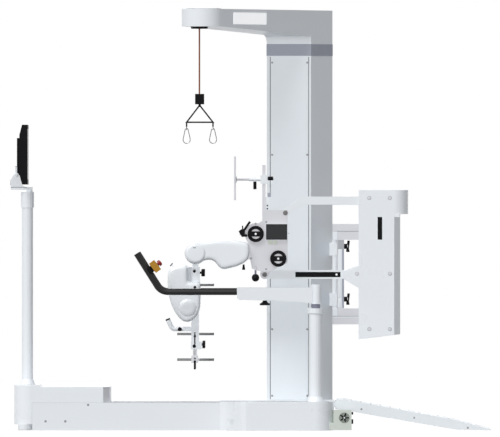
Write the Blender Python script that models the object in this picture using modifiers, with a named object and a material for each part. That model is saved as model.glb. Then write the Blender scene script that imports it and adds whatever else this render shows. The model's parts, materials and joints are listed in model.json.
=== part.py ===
"""Robotic gait trainer: treadmill, body weight support, swinging leg orthosis, handrails and monitor.

Metres, +Z up. The origin is on the floor in the patient's mid-plane. The patient faces -X, so the
patient's left side is at -Y. Each moving body hangs on an empty that stands on its joint's axis.
"""

import math

import bmesh
import bpy
from mathutils import Matrix, Vector

# Gaps, sheet metal and overall height
GAP = 0.0003
CLEAR = 0.0006
SHEET = 0.004
TOP = 2.397

# Treadmill and ramp
RAIL_TOP = 0.1565
RAIL_FRONT = -1.2506
RAIL_REAR = 0.455
RAIL_OUT = 0.400
RAIL_IN = 0.295
BELT_HALF = 0.255
BELT_TOP = 0.145
BELT_THICK = 0.0025
ROLLER_R = 0.045
ROLLER_Z = BELT_TOP - BELT_THICK - ROLLER_R - 0.0005
ROLLER_FRONT_X = -0.880
ROLLER_REAR_X = 0.405
ROLLERS = (ROLLER_FRONT_X, ROLLER_REAR_X)
AXLE_R = 0.012
RAMP_PIN = (0.500, 0.145)
PIN_R = 0.006
FAN = (0.521, 0.0724)

# Motor housing and pods
HOUSING_FRONT = -1.3538
HOUSING_REAR = -0.8066
HOUSING_TOP = 0.2565
HOUSING_STEP_X = -1.2107
HOUSING_STEP = 0.0100
HOUSING_LIP = 0.034
POD_TOP = 0.1625
POD_FRONT = -0.185
POD_REAR = 0.459
POD_OUT = 0.560
POD_FAR_OUT = 0.945

# Monitor
MONITOR_PIVOT = (-1.345, 0.0, 1.450)
SWIVEL_X = -1.270
POLE_X = -1.282
POLE_R = 0.0315

# Column and gantry arm
COLUMN_NEAR = 0.650
COLUMN_FAR = 0.920
COLUMN_LEFT = 0.083
COLUMN_EDGE = 0.336
COLUMN_RIGHT = 0.460
COLUMN_FACE_END = 0.821
BAND_TOP = 2.204
TIP_X = -0.279
TIP_R = 0.124
ARM_UNDER_TIP = 2.297
ARM_UNDER_ROOT = 2.2515

# Rope, winch and carabiners
ROPE_X = -0.302
ROPE_R = 0.0045
BLOCK_TOP = 1.9129
BLOCK_LOW = 1.8536
DRUM = (0.270, 0.785, 2.050)
DRUM_R = 0.050
CARABINER_Z = 1.7161
CARABINER_X = (-0.375, -0.2246)
WIRE_R = 0.0026

# Door, cabinet and links
DOOR_AXIS = (0.475, 0.680)
DOOR_POST_R = 0.014
CABINET_FRONT = 0.6065
CABINET_BACK = 0.807
CABINET_HALF = 0.178
CABINET_TOP = 1.365
HOOD_LOW = 1.228
LINK_IN = 0.135
LINK_OUT = 0.165
LINK_SPAN = 0.570
LOWER_PIVOT = (0.0695, 0.884)
UPPER_PIVOT = (0.1875, 1.235)
UPPER_ANCHOR = (UPPER_PIVOT[0] + LINK_SPAN, UPPER_PIVOT[1])
LOWER_ANCHOR = (LOWER_PIVOT[0] + LINK_SPAN, LOWER_PIVOT[1])

# Pelvis and back pad
PLATE_IN = 0.302
PLATE_OUT = 0.314
SLIDE_RODS = ((0.100, 0.950), (0.100, 1.120))
SLIDE_ROD_R = 0.012
PAD_TUBE = (0.0564, 0.0752)
PAD_Z = 1.4253
WHEEL_A = (0.0188, 1.1149)
WHEEL_B = (0.147, 0.9747)
WHEEL_R = 0.047

# Leg orthosis
HIP = (-0.323, 1.005)
KNEE = (-0.368, 0.696)
LEG_X = -0.3245
HIP_COVER_OUT = 0.385
KNEE_COVER_OUT = 0.350
THIGH_BAR = (-0.3415, -0.3075)
THIGH_Y = (0.2705, 0.2965)
CARRIER_IN, CARRIER_OUT = 0.2593, 0.2673
SLEEVE_Z = (0.841, 0.925)
SHANK_IN = 0.225
SHANK_OUT = 0.258
SHANK_X = (-0.347, -0.305)
SLIDE_X = (-0.3386, -0.3158)
SLIDE_Y = (0.2301, 0.2529)
LIFT_Z = 0.5734
LIFT_Y = 0.2415
CUFF_X = -0.3236
KNOB_R = 0.019

# Handrails and emergency stop
HAND_Y = 0.450
HAND_X = 0.3597
HAND_POST_R = 0.0365
GRIP_LOW_Z = 0.7865
GRIP_TOP = (-0.6566, 1.0043)
TUBE_R = 0.0190
STOP_AT = (-0.5832, 0.9075)
STOP_OUT = Vector((0.797, 0, 0.604))

# Colour, roughness and metallic value of each finish

WHITE = ((0.84, 0.86, 0.89, 1.0), 0.38, 0.0)
GREY = ((0.60, 0.61, 0.64, 1.0), 0.45, 0.0)
PLATE = ((0.70, 0.70, 0.72, 1.0), 0.40, 0.0)
STEEL = ((0.62, 0.62, 0.64, 1.0), 0.28, 1.0)
BLACK = ((0.02, 0.02, 0.022, 1.0), 0.45, 0.0)
RUBBER = ((0.03, 0.03, 0.03, 1.0), 0.80, 0.0)
ROPE = ((0.42, 0.22, 0.14, 1.0), 0.75, 0.0)
YELLOW = ((0.85, 0.55, 0.03, 1.0), 0.40, 0.0)
RED = ((0.60, 0.02, 0.02, 1.0), 0.35, 0.0)
BOX = ((0.72, 0.75, 0.71, 1.0), 0.50, 0.0)

for old in list(bpy.data.objects):
    bpy.data.objects.remove(old)
PARTS = bpy.data.collections.new("Gait_trainer")
CUTTERS = bpy.data.collections.new("Cutters")
for group in (PARTS, CUTTERS):
    bpy.context.scene.collection.children.link(group)


def paint(obj, name, finish):
    """Gives an object its own Principled material."""
    colour, roughness, metallic = finish
    material = bpy.data.materials.new(name)
    material.use_nodes = True
    shader = material.node_tree.nodes["Principled BSDF"]
    shader.inputs["Base Color"].default_value = colour
    shader.inputs["Roughness"].default_value = roughness
    shader.inputs["Metallic"].default_value = metallic
    obj.data.materials.clear()
    obj.data.materials.append(material)
    obj.data.shade_smooth()
    obj.data.set_sharp_from_angle(angle=math.radians(35))


def add_mesh(name, bm, at=(0, 0, 0)):
    """Turns a bmesh into an object of the parts collection."""
    bmesh.ops.recalc_face_normals(bm, faces=bm.faces)
    mesh = bpy.data.meshes.new(name)
    bm.to_mesh(mesh)
    bm.free()
    obj = bpy.data.objects.new(name, mesh)
    obj.location = at
    PARTS.objects.link(obj)
    bpy.context.view_layer.update()
    return obj


def block(name, low, high):
    """A box between two corners."""
    bm = bmesh.new()
    bmesh.ops.create_cube(bm, size=1.0)
    size = [b - a for a, b in zip(low, high)]
    bmesh.ops.scale(bm, vec=size, verts=bm.verts)
    return add_mesh(name, bm, [(a + b) / 2 for a, b in zip(low, high)])


TURNS = {"Y": Matrix.Rotation(-math.pi / 2, 4, "X"), "Z": Matrix()}


def rod(name, radius, start, end, sides=12, end_radius=None):
    """A round bar or cone between two points."""
    start, end = Vector(start), Vector(end)
    along = end - start
    bm = bmesh.new()
    far = radius if end_radius is None else end_radius
    bmesh.ops.create_cone(
        bm, cap_ends=True, segments=sides, radius1=radius, radius2=far, depth=along.length
    )
    turn = Vector((0, 0, 1)).rotation_difference(along).to_matrix()
    bmesh.ops.rotate(bm, matrix=turn, verts=bm.verts)
    return add_mesh(name, bm, (start + end) / 2)


def weld(mesh):
    """Joins a converted curve's caps to its sides."""
    bm = bmesh.new()
    bm.from_mesh(mesh)
    bmesh.ops.remove_doubles(bm, verts=bm.verts, dist=1e-6)
    bmesh.ops.recalc_face_normals(bm, faces=bm.faces)
    bm.to_mesh(mesh)
    bm.free()


def from_curve(curve, matrix=None):
    """Makes a curve object a mesh object and removes the curve."""
    curve.matrix_world = matrix or Matrix()
    PARTS.objects.link(curve)
    bpy.context.view_layer.update()
    name = curve.name
    graph = bpy.context.evaluated_depsgraph_get()
    mesh = bpy.data.meshes.new_from_object(curve.evaluated_get(graph))
    weld(mesh)
    obj = bpy.data.objects.new(name + "_mesh", mesh)
    obj.matrix_world = curve.matrix_world
    bpy.data.objects.remove(curve)
    obj.name = name
    PARTS.objects.link(obj)
    return obj


STANDING = Matrix(((1, 0, 0), (0, 0, -1), (0, 1, 0))).to_4x4()


def plate(name, outlines, low, high, lying=False):
    """Extrudes flat outlines: in XZ between two Y values, or lying in XY between two Z values."""
    curve = bpy.data.curves.new(name, "CURVE")
    curve.dimensions = "2D"
    curve.fill_mode = "BOTH"
    curve.extrude = (high - low) / 2
    if not isinstance(outlines[0][0], (tuple, list)):
        outlines = [outlines]
    for outline in outlines:
        spline = curve.splines.new("POLY")
        spline.points.add(len(outline) - 1)
        for point, (u, v) in zip(spline.points, outline):
            point.co = (u, v, 0, 1)
        spline.use_cyclic_u = True
    middle = (low + high) / 2
    place = Matrix.Translation((0, 0, middle) if lying else (0, middle, 0))
    return from_curve(bpy.data.objects.new(name, curve), place @ (Matrix() if lying else STANDING))


def tube(name, points, radius, resolution=3, closed=False):
    """A bent round bar along a list of points."""
    curve = bpy.data.curves.new(name, "CURVE")
    curve.dimensions = "3D"
    curve.bevel_depth = radius
    curve.bevel_resolution = resolution
    curve.use_fill_caps = True
    spline = curve.splines.new("POLY")
    spline.points.add(len(points) - 1)
    for point, place in zip(spline.points, points):
        point.co = (*place, 1)
    spline.use_cyclic_u = closed
    return from_curve(bpy.data.objects.new(name, curve))


def arc(centre, radius, start, end, steps):
    """Points on an arc, in degrees."""
    turns = [math.radians(start + (end - start) * i / steps) for i in range(steps + 1)]
    return [(centre[0] + radius * math.cos(t), centre[1] + radius * math.sin(t)) for t in turns]


def inset(outline, wall):
    """The outline moved inwards by a wall, for outlines that run counter-clockwise."""
    found = []
    count = len(outline)
    for i in range(count):
        before, here, after = (Vector(outline[(i + k - 1) % count]) for k in range(3))
        first = (here - before).normalized()
        second = (after - here).normalized()
        normal = Vector((-first.y - second.y, first.x + second.x)).normalized()
        spread = max(0.3, normal.dot(Vector((-first.y, first.x))))
        found.append(tuple(here + normal * (wall / spread)))
    return found


def turned(name, profile, at, axis="Z", steps=16):
    """A body turned from (radius, height) points that run down the outer side."""
    bm = bmesh.new()
    points = [bm.verts.new((radius, 0, height)) for radius, height in profile]
    hollow = min(radius for radius, _ in profile) > 0
    pairs = list(zip(points, points[1:])) + ([(points[-1], points[0])] if hollow else [])
    for pair in pairs:
        bm.edges.new(pair)
    mesh = bpy.data.meshes.new(name)
    bm.to_mesh(mesh)
    bm.free()
    obj = bpy.data.objects.new(name, mesh)
    obj.matrix_world = Matrix.Translation(at) @ TURNS[axis]
    PARTS.objects.link(obj)
    screw = obj.modifiers.new("Screw", "SCREW")
    screw.steps = screw.render_steps = steps
    screw.use_merge_vertices = True
    screw.merge_threshold = 0.00001
    return obj


def hide(obj):
    """Keeps a Boolean's helper out of the object."""
    for group in obj.users_collection:
        group.objects.unlink(obj)
    CUTTERS.objects.link(obj)
    obj.hide_render = True
    obj.display_type = "WIRE"


def combine(base, others, operation):
    """Adds one Boolean modifier to a piece for each of the others."""
    for other in others:
        hide(other)
        modifier = base.modifiers.new(operation.title(), "BOOLEAN")
        modifier.operation = operation
        modifier.object = other
    return base


def fuse(base, *others):
    """Makes other pieces part of a piece."""
    return combine(base, others, "UNION")


def cut(base, *others):
    """Takes other pieces out of a piece."""
    return combine(base, others, "DIFFERENCE")


def shell(obj, wall, open_faces):
    """Removes the faces that a test picks and gives the rest a wall, inwards."""
    bm = bmesh.new()
    bm.from_mesh(obj.data)
    place = obj.matrix_world
    gone = [f for f in bm.faces if open_faces(place @ f.calc_center_median(), f)]
    bmesh.ops.delete(bm, geom=gone, context="FACES")
    bm.to_mesh(obj.data)
    bm.free()
    modifier = obj.modifiers.new("Wall", "SOLIDIFY")
    modifier.thickness = wall
    modifier.offset = -1
    modifier.use_even_offset = True
    return obj


def body(name, at, pieces, parent=None):
    """Hangs pieces on an empty that stands on the body's joint axis."""
    empty = bpy.data.objects.new(name, None)
    PARTS.objects.link(empty)
    bpy.context.view_layer.update()
    if parent:
        empty.parent = parent
        empty.matrix_parent_inverse = parent.matrix_world.inverted()
    empty.location = at
    bpy.context.view_layer.update()
    for piece in pieces:
        piece.parent = empty
        piece.matrix_parent_inverse = empty.matrix_world.inverted()
    return empty


def span(side, inner, outer):
    """Y limits of something between two distances from the mid-plane."""
    return (inner, outer) if side > 0 else (-outer, -inner)


def sided(points, side):
    """Plan points mirrored to the left side, kept counter-clockwise."""
    return points if side > 0 else [(x, -y) for x, y in reversed(points)]


SIDES = {"left": -1, "right": 1}


def rounded(left, right, low, high, r_left, r_right, steps=5):
    """A counter-clockwise rectangle with its own corner radius at the left and at the right."""
    return (
        arc((left + r_left, low + r_left), r_left, 180, 270, steps)
        + arc((right - r_right, low + r_right), r_right, 270, 360, steps)
        + arc((right - r_right, high - r_right), r_right, 0, 90, steps)
        + arc((left + r_left, high - r_left), r_left, 90, 180, steps)
    )


def y_rod(name, radius, at, low, high, sides=12):
    """A round bar along Y through an (x, z) point."""
    return rod(name, radius, (at[0], low, at[1]), (at[0], high, at[1]), sides)


# Treadmill
def make_treadmill_frame():
    rails = []
    for side in SIDES.values():
        low, high = span(side, RAIL_IN, RAIL_OUT)
        box = block("rail", (RAIL_FRONT, low, 0), (RAIL_REAR, high, RAIL_TOP))
        rails.append(shell(box, SHEET, lambda centre, face: centre.z < 0.001))
    reach = RAIL_IN + SHEET / 2
    crosses = [
        block("cross", (x - 0.03, -reach, 0.085), (x + 0.03, reach, 0.1185))
        for x in (-0.70, -0.20, 0.29)
    ]
    feet = [
        block("floor_bar", (x - 0.03, -reach, 0), (x + 0.03, reach, 0.02)) for x in (-0.90, 0.0)
    ]
    deck = block("deck", (-0.80, -0.262, 0.118), (0.33, 0.262, 0.1415))
    tray = block("tray", (-1.335, -reach, 0.0363), (-1.000, reach, 0.0443))
    pads = [rod("pad", 0.040, (-1.292, y, 0), (-1.292, y, 0.040), 20) for y in (-0.25, 0.25)]
    lugs = []
    for side in SIDES.values():
        low, high = span(side, 0.346, 0.364)
        outline = [(0.452, 0.131), (0.500, 0.131), (0.512, 0.138), (0.514, 0.145)]
        outline += [(0.512, 0.152), (0.500, 0.158), (0.452, 0.158)]
        lugs.append(plate("lug", outline, low, high))
    frame = fuse(rails[0], *crosses, rails[1], *feet, deck, tray, *pads, *lugs)
    frame.name = "treadmill_frame"
    holes = [y_rod("axle_hole", AXLE_R + CLEAR, (x, ROLLER_Z), -0.34, 0.34) for x in ROLLERS]
    holes.append(y_rod("pin_hole", PIN_R + CLEAR, RAMP_PIN, -0.37, 0.37, 12))
    cut(frame, *holes)
    paint(frame, "frame_white", WHITE)
    return frame


def make_roller(name, x):
    drum = y_rod(name, ROLLER_R, (x, ROLLER_Z), -0.262, 0.262, 20)
    axle = y_rod("axle", AXLE_R, (x, ROLLER_Z), -0.293 - 0.012, 0.293 + 0.012)
    fuse(drum, axle)
    paint(drum, name + "_steel", STEEL)
    return drum


def belt_loop(radius):
    return arc((ROLLER_FRONT_X, ROLLER_Z), radius, 90, 270, 16) + arc(
        (ROLLER_REAR_X, ROLLER_Z), radius, -90, 90, 16
    )


def make_belt():
    inner = ROLLER_R + 0.0005
    loops = [belt_loop(inner + BELT_THICK), belt_loop(inner)]
    belt = plate("walking_belt", loops, -BELT_HALF, BELT_HALF)
    paint(belt, "belt_rubber", RUBBER)
    return belt


def make_motor_housing():
    low_top = HOUSING_TOP - HOUSING_STEP
    step = HOUSING_STEP_X
    sill = RAIL_TOP + GAP
    heel = RAIL_FRONT - GAP
    outline = [(HOUSING_FRONT, HOUSING_LIP), (heel, HOUSING_LIP), (heel, sill)]
    outline += [(HOUSING_REAR, sill), (HOUSING_REAR, low_top), (step + 0.01, low_top)]
    outline += [(step, HOUSING_TOP), (HOUSING_FRONT, HOUSING_TOP)]
    hood = plate("motor_housing", outline, -RAIL_OUT, RAIL_OUT)
    plan = rounded(HOUSING_FRONT, HOUSING_REAR, -RAIL_OUT, RAIL_OUT, 0.097, 0.041)
    front, rear = HOUSING_FRONT + SHEET, HOUSING_REAR - SHEET
    hollow = [(front, -0.05), (-1.20, -0.05), (-1.20, 0.10), (rear, 0.10)]
    hollow += [(rear, low_top - SHEET), (step + 0.008, low_top - SHEET)]
    hollow += [(step - 0.002, HOUSING_TOP - SHEET), (front, HOUSING_TOP - SHEET)]
    inner = plate("hood_inside", hollow, -RAIL_OUT - 0.01, RAIL_OUT + 0.01)
    wide = RAIL_OUT - SHEET
    inner_plan = rounded(front, rear, -wide, wide, 0.093, 0.037)
    combine(hood, [plate("hood_plan", plan, -0.01, 0.30, lying=True)], "INTERSECT")
    combine(inner, [plate("inside_plan", inner_plan, -0.10, 0.30, lying=True)], "INTERSECT")
    cut(hood, inner)
    paint(hood, "housing_white", WHITE)
    return hood


def make_drive_motor():
    motor = y_rod("drive_motor", 0.070, (-1.130, 0.1155), -0.12, 0.12, 20)
    fuse(
        motor,
        block("motor_foot", (-1.190, -0.09, 0.0446), (-1.070, 0.09, 0.065)),
        y_rod("motor_shaft", 0.010, (-1.130, 0.1155), 0.11, 0.19, 12),
        y_rod("motor_pulley", 0.030, (-1.130, 0.1155), 0.15, 0.18, 16),
    )
    paint(motor, "motor_grey", GREY)
    return motor


def pod_plan(outer, rear, corner):
    """Plan of a pod on the right side: an S-curve in front and a round corner behind."""
    near = RAIL_OUT + GAP
    front, shoulder, steps = POD_FRONT, -0.030, 8
    plan = [(front, near), (rear, near)]
    plan += arc((rear - corner, outer - corner), corner, 0, 90, 5)
    for i in range(steps):
        t = 1 - i / steps
        plan.append((front + (shoulder - front) * t, near + (outer - near) * t * t * (3 - 2 * t)))
    return plan


def make_pod(name, side, outer, rear, corner):
    plan = sided(pod_plan(outer, rear, corner), side)
    pod = plate(name, plan, 0, POD_TOP, lying=True)
    cut(pod, plate("pod_inside", inset(plan, SHEET), -0.05, POD_TOP - SHEET, lying=True))
    paint(pod, name + "_white", WHITE)
    return pod


def make_power_box():
    low, high = (POD_REAR + GAP, -0.530, 0.003), (0.562, -0.410, 0.117)
    box = block("power_box", low, high)
    wall = 0.003
    inside = block("box_inside", [v + wall for v in low], [v - wall for v in high])
    cut(box, inside, y_rod("fan_hole", 0.0285, FAN, -0.54, -0.52, 20))
    bar = block("fan_bar", (low[0] + 0.002, -0.507, 0.068), (high[0] - 0.002, -0.503, 0.077))
    plugs = [rod("plug", 0.007, (0.5610, -0.47, z), (0.5690, -0.47, z), 12) for z in (0.0975, 0.0507)]
    fuse(box, bar, *plugs)
    cut(box, y_rod("bar_hole", 0.0036, FAN, -0.51, -0.50, 12))
    paint(box, "box_grey", BOX)
    return box


def make_fan():
    hub = y_rod("cooling_fan", 0.009, FAN, -0.5265, -0.5080, 16)
    blades = []
    for i in range(5):
        blade = block("blade", (0.006, -0.0055, -0.0012), (0.0260, 0.0055, 0.0012))
        twist = Matrix.Rotation(math.radians(72 * i), 4, "Y") @ Matrix.Rotation(0.6, 4, "X")
        blade.matrix_world = (
            Matrix.Translation((FAN[0], -0.517, FAN[1])) @ twist @ Matrix.Translation((0.016, 0, 0))
        )
        blades.append(blade)
    fuse(hub, y_rod("fan_shaft", 0.003, FAN, -0.509, -0.500, 12), *blades)
    paint(hub, "fan_black", BLACK)
    return hub


def make_ramp():
    outline = [(0.4703, 0.1602), (0.4731, 0.1203), (0.566, 0.1077), (0.6464, 0.0923)]
    outline += [(1.160, 0.0040), (1.3543, 0.0), (1.3572, 0.0045), (1.1343, 0.0633)]
    outline += [(0.5227, 0.1756), (0.4885, 0.1744)]
    ramp = plate("ramp", outline, -0.385, 0.385)
    slots, pins = [], []
    for side in SIDES.values():
        low, high = span(side, 0.343, 0.367)
        slots.append(block("slot", (0.45, low, 0.08), (0.53, high, 0.20)))
        low, high = span(side, 0.335, 0.375)
        pins.append(y_rod("ramp_pin", PIN_R, RAMP_PIN, low, high, 12))
    hollow = [(0.545, 0.1674), (0.545, 0.0), (1.130, -0.05), (1.130, 0.0600)]
    cut(ramp, plate("ramp_inside", hollow, -0.381, 0.381), *slots)
    fuse(ramp, *pins)
    paint(ramp, "ramp_white", WHITE)
    return ramp


# Monitor
def make_monitor_post():
    outer = [(0.037, 1.354), (0.037, 1.265), (POLE_R, 1.264), (POLE_R, 0.288)]
    outer += [(0.0433, 0.259), (0.0433, HOUSING_TOP + GAP)]
    inner = [(POLE_R - 0.003, HOUSING_TOP + GAP), (POLE_R - 0.003, 1.310)]
    neck = SWIVEL_X - POLE_X
    post = turned("monitor_post", outer + inner + [(0.010, 1.310), (0.010, 1.354)], (POLE_X, 0, 0))
    socket = rod("socket", 0.0175, (POLE_X + neck, 0, 1.322), (POLE_X + neck, 0, 1.36), 20)
    cut(post, socket)
    paint(post, "pole_white", WHITE)
    return post


def make_monitor_bracket():
    base = block("monitor_bracket", (-1.376, -0.050, 1.366), (-1.253, 0.050, 1.382))
    outline = [(-1.376, 1.380), (-1.379, 1.420), (-1.3575, 1.455), (-1.352, 1.464)]
    outline += [(-1.338, 1.464), (-1.331, 1.452), (-1.317, 1.398), (-1.300, 1.384), (-1.300, 1.380)]
    cheeks = [plate("cheek", outline, *span(side, 0.025, 0.035)) for side in SIDES.values()]
    neck = rod("neck", 0.0170, (SWIVEL_X, 0, 1.326), (SWIVEL_X, 0, 1.370), 20)
    fuse(base, *cheeks, neck)
    pivot = (MONITOR_PIVOT[0], MONITOR_PIVOT[2])
    cut(base, y_rod("tilt_hole", 0.0056, pivot, -0.06, 0.06, 12))
    paint(base, "bracket_white", WHITE)
    return base


def make_monitor():
    profile = [(-1.279, 1.3965), (-1.279, 1.736), (-1.3099, 1.736), (-1.325, 1.6786)]
    profile += [(-1.325, 1.4507), (-1.3099, 1.3965)]
    case = plate("monitor", profile, -0.2775, 0.2775)
    pivot = (MONITOR_PIVOT[0], MONITOR_PIVOT[2])
    lug = [(-1.352, 1.500), (-1.352, 1.446), (-1.345, 1.441), (-1.323, 1.452), (-1.323, 1.500)]
    fuse(
        case,
        block("rear_box", (-1.3406, -0.140, 1.4985), (-1.324, 0.140, 1.661)),
        plate("lug", lug, -0.020, 0.020),
        y_rod("tilt_pin", 0.0050, pivot, -0.040, 0.040, 12),
    )
    paint(case, "monitor_black", BLACK)
    return case


# Column and gantry
COLUMN = [
    (COLUMN_LEFT, COLUMN_NEAR),
    (COLUMN_EDGE, COLUMN_NEAR),
    (COLUMN_RIGHT, COLUMN_FACE_END),
    (COLUMN_RIGHT, COLUMN_FAR),
    (COLUMN_LEFT, COLUMN_FAR),
]
ARM_TURN = math.atan2(COLUMN_FACE_END - COLUMN_NEAR, COLUMN_RIGHT - COLUMN_EDGE)
ALONG = Vector((math.cos(ARM_TURN), math.sin(ARM_TURN)))
ACROSS = Vector((ALONG.y, -ALONG.x))


def make_column():
    column = plate("column_shell", COLUMN, POD_TOP + GAP, BAND_TOP, lying=True)
    hollow = plate("column_inside", inset(COLUMN, 0.005), 0.10, 2.30, lying=True)
    grooves = [
        block("groove", (x - 0.0015, 0.64, 0.20), (x + 0.0015, COLUMN_NEAR + 0.0025, 2.13))
        for x in (0.1000, 0.3226)
    ]
    cut(column, hollow, *grooves)
    paint(column, "column_white", WHITE)
    return column


def arm_plan(wall):
    """Plan of the gantry arm: a round tip and two sides that run to the column."""
    tip = Vector((TIP_X, 0))
    turn = math.degrees(ARM_TURN)
    reach = TIP_R - wall
    plan = arc(tip, reach, turn + 90, turn + 270, 12)
    far = tip - ACROSS * reach
    left = COLUMN_LEFT + wall
    plan += [(COLUMN_RIGHT - wall, COLUMN_FACE_END + wall), (COLUMN_RIGHT - wall, COLUMN_FAR - wall)]
    plan += [(left, COLUMN_FAR - wall), (left, far.y + (left - far.x) * ALONG.y / ALONG.x)]
    return plan


def make_gantry_arm():
    arm = plate("gantry_arm", arm_plan(0), 2.200, TOP, lying=True)
    slope = (ARM_UNDER_ROOT - ARM_UNDER_TIP) / 0.843
    under = [(-0.5, 2.1), (1.4, 2.1), (1.4, ARM_UNDER_TIP + slope * 1.4), (0, ARM_UNDER_TIP)]
    under += [(-0.5, ARM_UNDER_TIP)]
    wedge = plate("under_arm", under, -0.6, 0.6)
    wedge.matrix_world = (
        Matrix.Translation((TIP_X, 0, 0)) @ Matrix.Rotation(ARM_TURN, 4, "Z") @ wedge.matrix_world
    )
    cut(arm, wedge)
    neck = plate("arm_neck", COLUMN, BAND_TOP + GAP, 2.265, lying=True)
    guide = rod("rope_guide", 0.0485, (ROPE_X, 0, 2.2886), (ROPE_X, 0, 2.300), 20)
    fuse(arm, neck, guide)
    cavity = plate("arm_inside", arm_plan(0.006), 2.303, TOP - 0.006, lying=True)
    throat = plate("throat", inset(COLUMN, 0.009), 2.15, 2.35, lying=True)
    hole = rod("rope_hole", 0.008, (ROPE_X, 0, 2.27), (ROPE_X, 0, 2.32), 16)
    cut(arm, cavity, throat, hole)
    paint(arm, "arm_white", WHITE)
    return arm


PULLEY_OFFSET = 0.0345
PULLEY = (ROPE_X + PULLEY_OFFSET * ALONG.x, PULLEY_OFFSET * ALONG.y, 2.347)


def make_pulley():
    rim, groove, half, inner = 0.040, 0.0290, 0.010, 0.0055
    profile = [(0, half), (rim, half), (rim, inner), (groove, inner)]
    profile += [(groove, -inner), (rim, -inner), (rim, -half), (0, -half)]
    pulley = turned("arm_pulley", profile, PULLEY, "Y")
    turn = Matrix.Rotation(ARM_TURN + math.pi, 4, "Z")
    pulley.matrix_world = Matrix.Translation(PULLEY) @ turn @ TURNS["Y"]
    middle = Vector(PULLEY) + ACROSS.to_3d() * (TIP_X - ROPE_X) * ACROSS.x
    reach = ACROSS.to_3d() * (TIP_R - 0.0065)
    fuse(pulley, rod("pulley_axle", 0.008, middle - reach, middle + reach))
    paint(pulley, "pulley_steel", STEEL)
    return pulley


def make_drum():
    drum = y_rod("winch_drum", DRUM_R, (DRUM[0], DRUM[2]), 0.705, 0.865, 20)
    flanges = [
        y_rod("flange", DRUM_R + 0.012, (DRUM[0], DRUM[2]), y - 0.004, y + 0.004, 20)
        for y in (0.705, 0.865)
    ]
    fuse(drum, *flanges, y_rod("drum_axle", AXLE_R, (DRUM[0], DRUM[2]), 0.6556, 0.9144))
    paint(drum, "drum_steel", STEEL)
    return drum


def make_rope():
    rope = rod("lift_rope", ROPE_R, (ROPE_X, 0, BLOCK_TOP + GAP), (ROPE_X, 0, 2.345), 12)
    paint(rope, "rope_brown", ROPE)
    return rope


def make_spreader():
    """The load block, a flat triangle below it and an eye at each of its lower corners."""
    x, half, wire, bar_z = ROPE_X + 0.0013, 0.026, 0.0043, 1.7513
    load = block("spreader_bar", (x - half, -half, BLOCK_LOW), (x + half, half, BLOCK_TOP))
    corners = [(x, 1.848), (CARABINER_X[0], bar_z), (CARABINER_X[1], bar_z)]
    triangle = plate("triangle", [inset(corners, -wire), inset(corners, wire)], -wire, wire)
    stub = rod("stub", 0.007, (x, 0, 1.838), (x, 0, 1.860))
    eyes = [
        block("eye", (at - 0.0020, -0.0095, CARABINER_Z - 0.0095), (at + 0.0020, 0.0095, bar_z))
        for at in CARABINER_X
    ]
    holes = [
        rod("eye_hole", 0.0064, (at - 0.01, 0, CARABINER_Z), (at + 0.01, 0, CARABINER_Z))
        for at in CARABINER_X
    ]
    fuse(load, stub, triangle, *eyes)
    cut(load, *holes)
    paint(load, "spreader_black", BLACK)
    return load


def make_carabiner(name, x):
    top, low, r_top, r_low = CARABINER_Z - 0.009, CARABINER_Z - 0.0647, 0.009, 0.0204
    flat = [(x + r_low, low + 0.004)] + arc((x, low), r_low, 0, -180, 8)
    flat += arc((x, top), r_top, 180, 0, 6) + [(x + r_top + 0.0005, top - 0.004)]
    hook = tube(name, [(u, 0, v) for u, v in flat], WIRE_R, 2)
    paint(hook, name + "_steel", STEEL)
    start = Vector((x + r_low, 0, low + 0.0053))
    end = Vector((x + r_top + 0.0010, 0, top - 0.0046))
    gate = rod(name.replace("carabiner", "gate"), WIRE_R, start, end, 8)
    paint(gate, gate.name + "_steel", STEEL)
    return hook, gate, start


# Door, cabinet and links
def make_door_post():
    face = COLUMN_FACE_END - COLUMN_NEAR
    slope = face / (COLUMN_RIGHT - COLUMN_EDGE)
    left, right, back = 0.442, 0.4856, 0.830
    edge = COLUMN_RIGHT + 0.0004
    plan = [(left, 0.660), (right, 0.660), (right, back), (edge, back)]
    plan += [(x, COLUMN_NEAR + (x - COLUMN_EDGE) * slope - 0.0008) for x in (edge, left)]
    post = rod("door_post", DOOR_POST_R, (*DOOR_AXIS, 0.641), (*DOOR_AXIS, 1.1258), 20)
    holders = [
        plate("holder", plan, low, high, lying=True)
        for low, high in ((0.7017, 0.7746), (0.9907, 1.0640))
    ]
    fuse(post, *holders)
    paint(post, "post_white", WHITE)
    return post


def make_door_frame():
    near, far = CABINET_HALF + GAP, 0.712
    beam = [(0.4595, 0.648), (0.630, 0.648), (0.630, near), (0.700, near)]
    beam += [(0.700, far), (0.4595, far)]
    upper = plate("door_frame", beam, 1.0800, 1.1714, lying=True)
    lower = plate("lower_beam", beam, 0.5957, 0.6869, lying=True)
    stile = block("stile", (0.4912, 0.655, 0.6800), (0.5255, 0.705, 1.0850))
    clamps = []
    for z in (0.740, 1.043):
        clamps.append(rod("clamp", 0.011, (0.5250, 0.680, z), (0.5480, 0.680, z), 12))
        clamps.append(rod("lever", 0.006, (0.545, 0.680, z - 0.031), (0.551, 0.680, z + 0.031), 10))
    fuse(upper, lower, stile, *clamps)
    bores = [
        rod("bore", DOOR_POST_R + CLEAR, (*DOOR_AXIS, low), (*DOOR_AXIS, high), 20)
        for low, high in ((0.630, 0.700), (1.070, 1.1268))
    ]
    cut(upper, *bores)
    paint(upper, "door_grey", PLATE)
    return upper


def cabinet_plan(half, back, bulge, front):
    """Plan of the cabinet's walls: flat sides and a back with slanted corners."""
    return [
        (front, -half),
        (CABINET_BACK, -half),
        (back, -half + bulge),
        (back, half - bulge),
        (CABINET_BACK, half),
        (front, half),
    ]


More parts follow.
